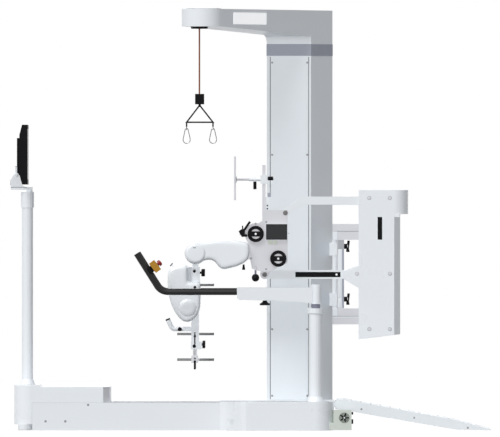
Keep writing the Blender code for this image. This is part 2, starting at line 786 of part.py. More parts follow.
def hood_plan(half, radius, front):
    """Plan of the cabinet's top hood, with round rear corners."""
    plan = [(front, -half)]
    plan += arc((CABINET_BACK, -half + radius), radius, -90, 0, 6)
    plan += arc((CABINET_BACK, half - radius), radius, 0, 90, 6)
    return plan + [(front, half)]


def make_cabinet():
    low, half, wall = 0.516, CABINET_HALF, 0.008
    plan = cabinet_plan(half, 0.8413, 0.048, CABINET_FRONT)
    cabinet = plate("cabinet_shell", plan, low, CABINET_TOP, lying=True)
    hood = plate("hood", hood_plan(half, 0.080, 0.790), HOOD_LOW, CABINET_TOP, lying=True)
    ear = [(0.608, 0.8067), (0.608, 0.9377), (0.524, 0.893), (0.516, 0.886), (0.523, 0.877)]
    ears = [plate("ear", ear, *span(side, half - wall, half)) for side in SIDES.values()]
    fuse(cabinet, hood, *ears)
    inner = cabinet_plan(half - wall, 0.8413 - wall, 0.045, 0.590)
    inside = plate("cabinet_inside", inner, 0.40, CABINET_TOP - wall, lying=True)
    dome = hood_plan(half - wall, 0.080 - wall, 0.780)
    dome_inside = plate("hood_inside", dome, HOOD_LOW + wall, CABINET_TOP - wall, lying=True)
    foot = [(0.55, 0.50), (0.90, 0.50), (0.90, 0.5510), (CABINET_FRONT, low)]
    under = plate("under_cabinet", foot, -0.3, 0.3)
    cut(cabinet, inside, dome_inside, under)
    reach = half - wall / 2
    fuse(cabinet, *[y_rod("anchor", 0.012, at, -reach, reach) for at in (UPPER_ANCHOR, LOWER_ANCHOR)])
    paint(cabinet, "cabinet_white", WHITE)
    return cabinet


def link(name, outline, anchor, pivot, ties):
    """A pair of equal bars joined by round ties, bored for the pivots."""
    bars = [plate(name, outline, *span(side, LINK_IN, LINK_OUT)) for side in SIDES.values()]
    reach = LINK_IN + 0.005
    fuse(bars[0], *[y_rod("tie", 0.011, at, -reach, reach) for at in ties], bars[1])
    bars[0].name = name
    far = LINK_OUT + 0.01
    cut(bars[0], *[y_rod("pivot_bore", 0.0127, at, -far, far) for at in (anchor, pivot)])
    paint(bars[0], name + "_white", WHITE)
    return bars[0]


def make_lower_link():
    half = 0.0245
    x0, z = LOWER_PIVOT
    x1 = LOWER_ANCHOR[0]
    outline = arc((x0, z), half, 90, 270, 8) + arc((x1, z), half, -90, 90, 8)
    return link("lower_link", outline, LOWER_ANCHOR, LOWER_PIVOT, [(0.20, z), (0.52, z)])


def make_upper_link():
    half = 0.0234
    top, low = 1.3275, 1.2808
    (px, pz), (ax, az) = UPPER_PIVOT, UPPER_ANCHOR
    outline = arc((px, pz), 0.0180, 145, 325, 8)
    outline += [(0.2960, low), (ax - 0.055, low), (ax - half, az + 0.020)]
    outline += arc((ax, az), half, 180, 360, 8)
    outline += [(ax + half, az + 0.060), (ax - 0.010, top), (0.2760, top)]
    return link("upper_link", outline, UPPER_ANCHOR, UPPER_PIVOT, [(0.330, 1.3042), (0.560, 1.3042)])


# Pelvis
def make_pelvis_frame():
    outline = arc(LOWER_PIVOT, 0.026, 150, 300, 6) + [(0.125, 0.940), (0.198, 1.205)]
    outline += arc(UPPER_PIVOT, 0.015, 0, 120, 5) + [(0.045, 1.130), (0.045, 0.930)]
    sides = [plate("pelvis_side", outline, *span(side, 0.170, 0.180)) for side in SIDES.values()]
    ties = [y_rod("pivot_pin", 0.012, at, -0.176, 0.176) for at in (LOWER_PIVOT, UPPER_PIVOT)]
    rails = [y_rod("slide_rod", SLIDE_ROD_R, at, -0.265, 0.265) for at in SLIDE_RODS]
    half = (PAD_TUBE[1] - PAD_TUBE[0]) / 2
    stalk = block("stalk", (PAD_TUBE[0], -half, 1.060), (PAD_TUBE[1], half, 1.5077))
    bridge = block("bridge", (0.052, -0.174, 1.060), (0.092, 0.174, 1.090))
    guard = [(0.0740, 1.070), (0.1049, 1.070), (0.1049, 1.3486), (0.0872, 1.3486)]
    guard += [(0.0872, 1.3200), (0.0740, 1.3200)]
    fuse(sides[0], *ties, *rails, bridge, stalk, plate("guard", guard, -0.014, 0.014), sides[1])
    sides[0].name = "pelvis_frame"
    paint(sides[0], "pelvis_grey", PLATE)
    return sides[0]


def make_pelvis_plate(name, side):
    """Side plate with display, lever and ball knob, reaching forward behind the hip cover."""
    edge = -0.0137
    outline = [(edge, 0.970), (-0.0075, 0.9428), (-0.003, 0.918), (0.017, 0.909), (0.047, 0.9025)]
    outline += [(0.112, 0.9040)]
    outline += [(0.146, 0.9260)]
    outline += [(0.196, 0.948), (0.2006, 0.960), (0.2006, 1.2510), (0.0564, 1.2510)]
    outline += [(0.0564, 1.190)] + arc(WHEEL_A, 0.062, 75, 205, 8) + [(edge, 1.035)]
    outline += arc(HIP, 0.045, 42, 318, 12)
    base = plate(name, outline, *span(side, PLATE_IN, PLATE_OUT))
    screen = span(side, PLATE_OUT - 0.001, PLATE_OUT + 0.026)
    knob = span(side, PLATE_OUT - 0.020, PLATE_OUT + 0.010)
    middle = side * (PLATE_OUT + 0.002)
    sleeves = [y_rod("sleeve", 0.020, at, *span(side, 0.215, PLATE_IN + 0.004), 20) for at in SLIDE_RODS]
    ball = [(0.0177, middle, 0.8853), (0.0177, middle, 0.9300)]
    fuse(
        base,
        block("display", (0.0775, screen[0], 1.0819), (0.1972, screen[1], 1.1710)),
        *sleeves,
        rod("ball_stem", 0.005, *ball, 10),
        turned("ball", ball_profile(0.0205), (0.0177, middle, 0.8653), steps=12),
        y_rod("lever_hub", 0.0075, (-0.0370, 1.1060), knob[0], knob[1]),
        rod("lever", 0.006, (-0.036, middle, 1.1060), (-0.062, middle, 1.1030), 8),
        rod("lever_grip", 0.0135, (-0.0620, middle, 1.1035), (-0.0560, middle, 1.1340), 8),
        rod("lever_bar", 0.0050, (-0.0530, middle, 1.1290), (-0.0140, middle, 1.1840), 10),
    )
    bores = [
        y_rod("rod_bore", SLIDE_ROD_R + CLEAR, at, *span(side, 0.20, PLATE_IN), 16)
        for at in SLIDE_RODS
    ]
    wheels = [y_rod("wheel_bore", 0.0060, at, *span(side, 0.30, 0.32), 12) for at in (WHEEL_A, WHEEL_B)]
    cut(base, *bores, *wheels, y_rod("hip_bore", 0.0187, HIP, *span(side, 0.29, 0.32), 20))
    paint(base, name + "_grey", PLATE)
    return base


def ball_profile(radius, steps=6):
    return [
        (max(0.0, radius * math.sin(math.pi * i / steps)), radius * math.cos(math.pi * i / steps))
        for i in range(steps + 1)
    ]


def make_hand_wheel(name, side, at):
    """A rim with two spoke windows on a round shaft through the pelvis plate."""
    low, high = span(side, PLATE_OUT + 0.006, PLATE_OUT + 0.024)
    wheel = y_rod(name, WHEEL_R, at, low, high, 20)
    shaft = y_rod("wheel_shaft", 0.0054, at, *span(side, PLATE_IN + 0.0005, PLATE_OUT + 0.010), 12)
    fuse(wheel, shaft)
    for up in (1, -1):
        window = arc(at, 0.028, 32 * up, 148 * up, 8)
        cut(wheel, plate("window", window, low - 0.01, high + 0.01))
    paint(wheel, name + "_black", BLACK)
    return wheel


HIP_COVER = [
    (-0.0268, 0.9679),
    (-0.0177, 0.9918),
    (-0.0154, 1.0232),
    (-0.0177, 1.0494),
    (-0.0296, 1.0648),
    (-0.0610, 1.0716),
    (-0.1134, 1.0773),
    (-0.1659, 1.0802),
    (-0.2183, 1.0779),
    (-0.2700, 1.0710),
    (-0.2950, 1.0685),
]
HIP_COVER_LOW = [
    (-0.2519, 0.9679),
    (-0.2314, 0.9667),
    (-0.2126, 0.9565),
    (-0.1972, 0.9365),
    (-0.1790, 0.9183),
    (-0.1579, 0.9143),
    (-0.1265, 0.9211),
    (-0.0872, 0.9314),
    (-0.0507, 0.9485),
]


def moulding(name, outline, side, inner, outer, rim):
    """An outline raised from one distance to another, with a rounded rim at the outer one."""
    turns = [math.radians(turn) for turn in (0, 45, 90)]
    levels = [(0, inner)]
    levels += [(rim * (1 - math.cos(t)), outer - rim * (1 - math.sin(t))) for t in turns]
    bm = bmesh.new()
    loops = [
        [bm.verts.new((x, side * distance, z)) for x, z in (inset(outline, wall) if wall else outline)]
        for wall, distance in levels
    ]
    count = len(outline)
    for low, high in zip(loops, loops[1:]):
        for i in range(count):
            j = (i + 1) % count
            bm.faces.new((low[i], low[j], high[j], high[i]))
    bm.faces.new(loops[0])
    bm.faces.new(loops[-1])
    return add_mesh(name, bm)


def cover_shell(name, outline, side, inner, outer):
    """A cover with a rounded outer rim and an open inner side."""
    rim = 0.014
    cover = moulding(name, outline, side, inner, outer, rim)
    slim = inset(outline, SHEET)
    cut(cover, moulding(name + "_inside", slim, side, inner - 0.01, outer - SHEET, rim - SHEET))
    return cover


def make_hip_cover(name, side):
    outline = HIP_COVER + arc(HIP, 0.0627, 88, 318, 14) + HIP_COVER_LOW
    cover = cover_shell(name, outline, side, PLATE_OUT + GAP, HIP_COVER_OUT)
    boss = y_rod("hip_boss", 0.047, HIP, *span(side, HIP_COVER_OUT - 0.002, HIP_COVER_OUT + 0.010), 20)
    fuse(cover, boss)
    paint(cover, name + "_white", WHITE)
    return cover


# Leg orthosis
KNEE_COVER = [
    (-0.3675, 0.8400),
    (-0.3675, 0.9360),
    (-0.4172, 0.9356),
    (-0.4427, 0.9305),
    (-0.4657, 0.9190),
    (-0.4783, 0.9012),
    (-0.4822, 0.8700),
    (-0.4822, 0.8200),
    (-0.4745, 0.7612),
    (-0.4605, 0.7130),
    (-0.4427, 0.6748),
    (-0.4198, 0.6417),
    (-0.3944, 0.6187),
    (-0.3638, 0.6138),
    (-0.3384, 0.6265),
    (-0.3129, 0.6520),
    (-0.3015, 0.6799),
    (-0.2964, 0.7079),
    (-0.2950, 0.7612),
    (-0.2955, 0.8400),
]


def make_thigh_bar(name, side):
    hub = y_rod(name, 0.045, HIP, *span(side, 0.2650, PLATE_IN - GAP), 20)
    y0, y1 = span(side, *THIGH_Y)
    bar = block("bar", (THIGH_BAR[0], y0, 0.760), (THIGH_BAR[1], y1, 1.005))
    shaft = y_rod("hip_shaft", 0.018, HIP, *span(side, 0.290, 0.365), 20)
    fuse(hub, bar, shaft)
    paint(hub, name + "_white", WHITE)
    return hub


def cuff_band(name, side, centre_x, inner_y, z):
    """A half ring that goes round the front, back and outer side of the leg."""
    centre = (centre_x, inner_y - 0.100)
    ring = arc(centre, 0.103, 0, 180, 12) + arc(centre, 0.097, 180, 0, 12)
    return plate(name, sided(ring, side), z - 0.005, z + 0.005, lying=True)


def make_knee_carrier(name, side):
    base = plate(name, inset(KNEE_COVER, 0.002), *span(side, CARRIER_IN, CARRIER_OUT))
    outer = span(side, CARRIER_IN, 0.3055)
    sleeve = block("sleeve", (-0.350, outer[0], SLEEVE_Z[0]), (-0.299, outer[1], SLEEVE_Z[1]))
    strip_y = span(side, CARRIER_IN, 0.320)
    strip = block("strip", (-0.3668, strip_y[0], 0.8465), (-0.3480, strip_y[1], SLEEVE_Z[1]))
    middle = side * 0.2830
    knob = rod("knob", KNOB_R, (-0.2900, middle, 0.894), (-0.2710, middle, 0.894))
    stem = rod("stem", 0.0050, (-0.3000, middle, 0.894), (-0.2880, middle, 0.894), 8)
    tongue_y = span(side, CARRIER_IN, CARRIER_OUT)
    tongue = block("tongue", (-0.385, tongue_y[0], 0.800), (-0.299, tongue_y[1], SLEEVE_Z[1] - 0.0005))
    fuse(base, tongue, sleeve, strip, knob, stem, cuff_band("thigh_cuff", side, CUFF_X, CARRIER_IN, 0.8237))
    slack = 0.0006
    bore_y = span(side, THIGH_Y[0] - slack, THIGH_Y[1] + slack)
    bore = block(
        "thigh_bore", (THIGH_BAR[0] - slack, bore_y[0], 0.80), (THIGH_BAR[1] + slack, bore_y[1], 0.95)
    )
    cut(base, bore, y_rod("knee_bore", 0.0147, KNEE, *span(side, 0.25, 0.28), 20))
    paint(base, name + "_white", WHITE)
    return base


def make_knee_cover(name, side):
    cover = cover_shell(name, KNEE_COVER, side, CARRIER_OUT + GAP, KNEE_COVER_OUT)
    boss = y_rod("knee_boss", 0.042, KNEE, *span(side, KNEE_COVER_OUT - 0.002, KNEE_COVER_OUT + 0.010), 20)
    fuse(cover, boss)
    slack = 0.0015
    y0, y1 = span(side, CARRIER_OUT - 0.01, THIGH_Y[1] + slack)
    cut(cover, block("bar_slot", (THIGH_BAR[0] - slack, y0, 0.826), (THIGH_BAR[1] + slack, y1, 0.850)))
    paint(cover, name + "_white", WHITE)
    return cover


def make_shank_bar(name, side):
    hub = y_rod(name, 0.040, KNEE, *span(side, SHANK_IN, CARRIER_IN - GAP), 20)
    y0, y1 = span(side, SHANK_IN, SHANK_OUT)
    bar = block("bar", (SHANK_X[0], y0, 0.4617), (SHANK_X[1], y1, 0.715))
    collar = block("collar", (-0.350, y0, 0.4587), (-0.288, y1, 0.500))
    guide = block("guide", (-0.395, y0 + 0.004, LIFT_Z - 0.0125), (-0.345, y1 - 0.004, LIFT_Z + 0.0125))
    middle = side * LIFT_Y
    knob = rod("knob", KNOB_R, (-0.2840, middle, 0.4850), (-0.2690, middle, 0.4850))
    stem = rod("stem", 0.0050, (-0.2890, middle, 0.4850), (-0.2830, middle, 0.4850), 8)
    shaft = y_rod("knee_shaft", 0.0140, KNEE, *span(side, 0.250, 0.330), 20)
    fuse(hub, bar, collar, guide, knob, stem, shaft)
    fuse(hub, cuff_band("calf_cuff", side, CUFF_X, SHANK_IN, 0.5444))
    slack = 0.0006
    bore_y = span(side, SLIDE_Y[0] - slack, SLIDE_Y[1] + slack)
    bore = block("bore", (SLIDE_X[0] - slack, bore_y[0], 0.45), (SLIDE_X[1] + slack, bore_y[1], 0.555))
    lift = rod("lift_bore", 0.0086, (-0.40, middle, LIFT_Z), (-0.3465, middle, LIFT_Z), 12)
    cut(hub, bore, lift)
    paint(hub, name + "_white", WHITE)
    return hub


def make_shank_slide(name, side):
    y0, y1 = span(side, *SLIDE_Y)
    inner = block(name, (SLIDE_X[0], y0, 0.390), (SLIDE_X[1], y1, 0.552))
    y0, y1 = span(side, SHANK_IN + 0.001, SHANK_OUT - 0.001)
    clamp = block("clamp", (-0.347, y0, 0.3819), (-0.310, y1, 0.4190))
    middle = side * LIFT_Y
    pin = rod("pin", 0.0050, (-0.3278, middle, 0.3449), (-0.3278, middle, 0.3850), 8)
    fuse(inner, clamp, pin, cuff_band("ankle_cuff", side, CUFF_X, SHANK_IN + 0.002, 0.3984))
    paint(inner, name + "_steel", STEEL)
    return inner


def make_foot_lifter(name, side):
    middle = side * LIFT_Y
    bend = arc((-0.440, LIFT_Z + 0.026), 0.026, 205, 270, 5)
    points = [(-0.4822, middle, 0.6280)] + [(x, middle, z) for x, z in bend]
    points += [(-0.3957, middle, LIFT_Z)]
    arm = tube(name, points, 0.0115, 2)
    spigot = rod("spigot", 0.0080, (-0.400, middle, LIFT_Z), (-0.3475, middle, LIFT_Z), 12)
    fuse(arm, spigot)
    paint(arm, name + "_white", WHITE)
    return arm


# Back pad
def make_pad_slide():
    half = (PAD_TUBE[1] - PAD_TUBE[0]) / 2
    low, high = (0.0460, -0.020, 1.400), (0.0856, 0.020, 1.450)
    slide = block("pad_slide", low, high)
    boss = rod("boss", 0.0098, (-0.020, 0, PAD_Z), (0.050, 0, PAD_Z), 16)
    handle = rod("handle", 0.0085, (0.0143, 0, 1.3697), (0.0143, 0, 1.4250), 12)
    knob = rod("knob", 0.0100, (0.0850, 0, 1.4310), (0.1200, 0, 1.4310), 12)
    fuse(slide, boss, handle, knob)
    slack = half + CLEAR
    middle = sum(PAD_TUBE) / 2
    cut(
        slide,
        block("tube_bore", (middle - slack, -slack, 1.38), (middle + slack, slack, 1.47)),
        rod("rod_bore", 0.0070, (-0.03, 0, PAD_Z), (0.045, 0, PAD_Z), 16),
    )
    paint(slide, "pad_slide_white", WHITE)
    return slide


def make_back_plate():
    panel = block("back_plate", (-0.1049, -0.130, 1.3070), (-0.0940, 0.130, 1.5578))
    bar = rod("bar", 0.0064, (-0.096, 0, PAD_Z), (0.040, 0, PAD_Z), 16)
    flange = rod("flange", 0.024, (-0.0945, 0, PAD_Z), (-0.0880, 0, PAD_Z), 16, 0.010)
    fuse(panel, bar, flange)
    paint(panel, "back_plate_grey", STEEL)
    return panel


# Handrails
def make_rail_post(name, side):
    profile = [(0.046, 0.6926), (0.046, 0.664), (HAND_POST_R, 0.660), (HAND_POST_R, 0.191)]
    profile += [(0.047, 0.165), (0.047, POD_TOP + GAP), (0.0242, POD_TOP + GAP), (0.0242, 0.6926)]
    post = turned(name, profile, (HAND_X, side * HAND_Y, 0))
    paint(post, name + "_white", WHITE)
    return post


def make_rail_arm(name, side):
    middle = side * HAND_Y
    outline = [(-0.0878, 0.7600), (-0.0855, 0.7510), (-0.0790, 0.7445), (-0.0700, 0.7418)]
    outline += [(0.200, 0.7330), (0.345, 0.7217), (0.345, 0.8085), (-0.0870, 0.8085)]
    outline += [(-0.0878, 0.8078)]
    arm = plate(name, outline, middle - 0.028, middle + 0.028)
    head = block("head", (0.335, middle - 0.028, 0.7172), (0.3905, middle + 0.028, 0.8248))
    stalk = rod("stalk", 0.0235, (HAND_X, middle, 0.450), (HAND_X, middle, 0.730), 20)
    star = [(0.0, 0.7108), (0.0270, 0.7108), (0.0272, 0.7150), (0.0150, 0.7230), (0.0110, 0.7255)]
    star += [(0.0110, 0.7450), (0.0, 0.7450)]
    fuse(arm, head, stalk, turned("knob", star, (0.071, middle, 0), steps=16))
    cut(arm, rod("grip_bore", TUBE_R + 0.0005, (-0.10, middle, GRIP_LOW_Z), (0.130, middle, GRIP_LOW_Z), 20))
    paint(arm, name + "_white", WHITE)
    return arm


def make_grip(name, side):
    middle = side * HAND_Y
    slope = math.atan2(GRIP_TOP[1] - 0.800, GRIP_TOP[0] + 0.500)
    lean = math.degrees(slope) - 90
    points = [(0.060, middle, GRIP_LOW_Z)]
    bend = arc((-0.4811, GRIP_LOW_Z + 0.070), 0.070, 270, 180 + lean, 6)
    points += [(x, middle, z) for x, z in bend] + [(GRIP_TOP[0], middle, GRIP_TOP[1])]
    grip = tube(name, points, TUBE_R, 3)
    paint(grip, name + "_black", RUBBER)
    return grip


def tilted(obj, at, lift):
    """Stands a piece that was made along +Z at a height over the sloping grip."""
    place = Vector((at[0], -HAND_Y, at[1])) + STOP_OUT * lift
    turn = Vector((0, 0, 1)).rotation_difference(STOP_OUT).to_matrix().to_4x4()
    obj.matrix_world = Matrix.Translation(place) @ turn @ obj.matrix_basis
    return obj


def make_stop_box():
    box = block("stop_box", (-0.0330, -0.0300, -0.0180), (0.0330, 0.0300, 0.0180))
    hole = rod("stop_hole", 0.0102, (0, 0, -0.004), (0, 0, 0.030), 16)
    foot = block("stop_foot", (-0.0250, -0.0150, -0.0190), (0.0250, 0.0150, -0.0170))
    lift = TUBE_R + 0.0185 + 0.0010
    for piece in (box, hole, foot):
        tilted(piece, STOP_AT, lift)
    fuse(box, foot)
    cut(box, hole)
    paint(box, "stop_yellow", YELLOW)
    return box


def make_stop_button():
    profile = [(0, 0.0250), (0.0100, 0.0240), (0.0165, 0.0200), (0.0175, 0.0140), (0.0170, 0.0065)]
    profile += [(0.0095, 0.0065), (0.0095, -0.0120), (0, -0.0120)]
    button = turned("stop_button", profile, (0, 0, 0), steps=20)
    lift = TUBE_R + 0.0195 + 0.0180
    place = Vector((STOP_AT[0], -HAND_Y, STOP_AT[1])) + STOP_OUT * lift
    turn = Vector((0, 0, 1)).rotation_difference(STOP_OUT).to_matrix().to_4x4()
    button.matrix_world = Matrix.Translation(place) @ turn
    paint(button, "stop_red", RED)
    return button


def main():
    body("root", (0, 0, 0), [
        make_treadmill_frame(),
        make_belt(),
        make_motor_housing(),
        make_drive_motor(),
        make_pod("left_pod", -1, POD_OUT, POD_REAR, 0.10),
        make_pod("right_pod", 1, POD_FAR_OUT, 0.466, 0.02),
        make_power_box(),
        make_monitor_post(),
        make_column(),
        make_gantry_arm(),
        make_door_post(),
        make_rail_post("left_rail_post", -1),
        make_rail_post("right_rail_post", 1),
    ])
    body("front_roller_axis", (ROLLER_FRONT_X, 0, ROLLER_Z), [make_roller("front_roller", ROLLER_FRONT_X)])
    body("rear_roller_axis", (ROLLER_REAR_X, 0, ROLLER_Z), [make_roller("rear_roller", ROLLER_REAR_X)])
    body("fan_axis", (FAN[0], -0.517, FAN[1]), [make_fan()])
    body("ramp_axis", (RAMP_PIN[0], 0, RAMP_PIN[1]), [make_ramp()])
    swivel = body("swivel_axis", (SWIVEL_X, 0, 1.354), [make_monitor_bracket()])
    body("tilt_axis", MONITOR_PIVOT, [make_monitor()], swivel)
    body("pulley_axis", PULLEY, [make_pulley()])
    body("drum_axis", DRUM, [make_drum()])
    lift = body("lift_axis", (ROPE_X, 0, BLOCK_TOP), [make_rope(), make_spreader()])
    for name, x in zip(("front_carabiner", "rear_carabiner"), CARABINER_X):
        hook, gate, hinge = make_carabiner(name, x)
        swing = body(name + "_axis", (x, 0, CARABINER_Z), [hook], lift)
        body(name + "_gate_axis", hinge, [gate], swing)
    door = body("door_axis", (*DOOR_AXIS, 0.641), [make_door_frame(), make_cabinet()])
    body("upper_link_axis", (UPPER_ANCHOR[0], 0, UPPER_ANCHOR[1]), [make_upper_link()], door)
    lower = body("lower_link_axis", (LOWER_ANCHOR[0], 0, LOWER_ANCHOR[1]), [make_lower_link()], door)
    pelvis = body("pelvis_axis", (LOWER_PIVOT[0], 0, LOWER_PIVOT[1]), [make_pelvis_frame()], lower)
    pad = body("pad_height_axis", (PAD_TUBE[0], 0, PAD_Z), [make_pad_slide()], pelvis)
    body("pad_depth_axis", (-0.0940, 0, PAD_Z), [make_back_plate()], pad)
    for name, side in SIDES.items():
        make_leg(name, side, pelvis)
        arm = [make_rail_arm(name + "_rail_arm", side)]
        rail = body(name + "_rail_axis", (HAND_X, side * HAND_Y, 0.6926), arm)
        pieces = [make_grip(name + "_grip", side)]
        if side < 0:
            pieces.append(make_stop_box())
        grip = body(name + "_grip_axis", (0.060, side * HAND_Y, GRIP_LOW_Z), pieces, rail)
        if side < 0:
            body("stop_axis", (STOP_AT[0], -HAND_Y, STOP_AT[1]), [make_stop_button()], grip)


def make_leg(name, side, pelvis):
    """One side of the orthosis, from the pelvis plate down to the foot lifter."""
    plate_side = side * PLATE_IN
    hip_pieces = [make_pelvis_plate(name + "_pelvis_plate", side), make_hip_cover(name + "_hip_cover", side)]
    width = body(name + "_width_axis", (0.100, plate_side, 1.120), hip_pieces, pelvis)
    for wheel, at in (("depth_wheel", WHEEL_A), ("width_wheel", WHEEL_B)):
        title = name + "_" + wheel
        body(title + "_axis", (at[0], plate_side, at[1]), [make_hand_wheel(title, side, at)], width)
    bar = [make_thigh_bar(name + "_thigh_bar", side)]
    hip = body(name + "_hip_axis", (HIP[0], plate_side, HIP[1]), bar, width)
    knee_pieces = [make_knee_carrier(name + "_knee_carrier", side)]
    knee_pieces.append(make_knee_cover(name + "_knee_cover", side))
    thigh = body(name + "_thigh_axis", (LEG_X, plate_side, SLEEVE_Z[1]), knee_pieces, hip)
    shank = [make_shank_bar(name + "_shank_bar", side)]
    knee = body(name + "_knee_axis", (KNEE[0], plate_side, KNEE[1]), shank, thigh)
    slide = [make_shank_slide(name + "_shank_slide", side)]
    body(name + "_shank_axis", (SLIDE_X[0], plate_side, 0.4587), slide, knee)
    lifter = [make_foot_lifter(name + "_foot_lifter", side)]
    body(name + "_lifter_axis", (-0.3957, side * LIFT_Y, LIFT_Z), lifter, knee)


main()
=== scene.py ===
"""Looks of the robotic gait trainer: finishes, fittings and trim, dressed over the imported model."""

from __future__ import annotations

import json
import logging
import math
from dataclasses import dataclass, field
from enum import Enum
from typing import Iterable, Sequence

import bpy
from mathutils import Matrix, Vector

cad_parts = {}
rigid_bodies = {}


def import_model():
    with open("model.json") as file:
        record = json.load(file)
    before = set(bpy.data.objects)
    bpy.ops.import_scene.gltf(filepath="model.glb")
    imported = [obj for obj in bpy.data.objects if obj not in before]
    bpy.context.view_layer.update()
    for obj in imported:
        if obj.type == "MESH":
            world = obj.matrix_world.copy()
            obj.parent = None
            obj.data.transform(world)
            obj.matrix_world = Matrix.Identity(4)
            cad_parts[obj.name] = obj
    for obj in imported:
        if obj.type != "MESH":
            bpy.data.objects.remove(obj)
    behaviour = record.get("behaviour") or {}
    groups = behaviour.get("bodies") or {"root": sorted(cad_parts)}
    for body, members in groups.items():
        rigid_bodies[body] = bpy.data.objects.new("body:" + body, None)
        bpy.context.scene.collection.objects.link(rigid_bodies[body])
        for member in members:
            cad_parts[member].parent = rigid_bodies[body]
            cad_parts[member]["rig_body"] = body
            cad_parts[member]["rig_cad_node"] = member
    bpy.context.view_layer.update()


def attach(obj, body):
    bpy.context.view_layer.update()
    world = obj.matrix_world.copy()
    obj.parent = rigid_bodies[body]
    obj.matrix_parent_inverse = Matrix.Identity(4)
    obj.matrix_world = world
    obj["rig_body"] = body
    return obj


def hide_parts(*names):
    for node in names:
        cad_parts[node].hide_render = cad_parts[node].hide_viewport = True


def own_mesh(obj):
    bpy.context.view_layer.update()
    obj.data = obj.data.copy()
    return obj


LOG = logging.getLogger("gait_trainer")
Piece = bpy.types.Object
Tree = bpy.types.NodeTree
Node = bpy.types.Node
Socket = bpy.types.NodeSocket
Point = Sequence[float]
Outline = Sequence[tuple[float, float]]

LENS_MM = 1300.0
SENSOR_MM = 36.0
METRES_PER_PIXEL = 0.0057
IMAGE = (500, 437)
VIEW_CENTRE = ((250.0 - 252.4) * METRES_PER_PIXEL, (429.5 - 218.5) * METRES_PER_PIXEL)
SMUDGE_SCALE = 600.0
WEAR_SCALE = 40.0
DARKER = 0.93

SIDES = {"left": -1.0, "right": 1.0}
UP = (0, 0, 1)
NEAR = (0, -1, 0)
MIRROR = Matrix.Diagonal((1.0, -1.0, 1.0, 1.0))
HIP = (-0.323, 1.005)
KNEE = (-0.368, 0.696)
WHEELS = {"depth": (0.0188, 1.1149), "width": (0.147, 0.9747)}
LOWER_PIVOT = (0.0695, 0.884)
UPPER_PIVOT = (0.1875, 1.235)
HIP_COVER_TOP = [
    (-0.0268, 0.9679), (-0.0177, 0.9918), (-0.0154, 1.0232), (-0.0177, 1.0494), (-0.0296, 1.0648),
    (-0.061, 1.0716), (-0.1134, 1.0773), (-0.1659, 1.0802), (-0.2183, 1.0779), (-0.27, 1.071),
    (-0.295, 1.0685),
]
HIP_COVER_LOW = [
    (-0.2519, 0.9679), (-0.2314, 0.9667), (-0.2126, 0.9565), (-0.1972, 0.9365), (-0.179, 0.9183),
    (-0.1579, 0.9143), (-0.1265, 0.9211), (-0.0872, 0.9314), (-0.0507, 0.9485),
]
KNEE_COVER = [
    (-0.3675, 0.84), (-0.3675, 0.936), (-0.4172, 0.9356), (-0.4427, 0.9305), (-0.4657, 0.919),
    (-0.4783, 0.9012), (-0.4822, 0.87), (-0.4822, 0.82), (-0.4745, 0.7612), (-0.4605, 0.713),
    (-0.4427, 0.6748), (-0.4198, 0.6417), (-0.3944, 0.6187), (-0.3638, 0.6138), (-0.3384, 0.6265),
    (-0.3129, 0.652), (-0.3015, 0.6799), (-0.2964, 0.7079), (-0.295, 0.7612), (-0.2955, 0.84),
]


def arc(centre: Point, radius: float, start: float, end: float, steps: int) -> list[tuple[float, float]]:
    """Points on an arc.

    Args:
        centre: The arc's centre.
        radius: Its radius.
        start: Its first angle in degrees.
        end: Its last angle.
        steps: How many steps it has.

    Returns:
        The points, both ends among them.
    """
    turns = [math.radians(start + (end - start) * i / steps) for i in range(steps + 1)]
    return [(centre[0] + radius * math.cos(a), centre[1] + radius * math.sin(a)) for a in turns]


class Axis(Enum):
    """A row axis that a piece is made along."""

    X = 0
    Y = 1
    Z = 2


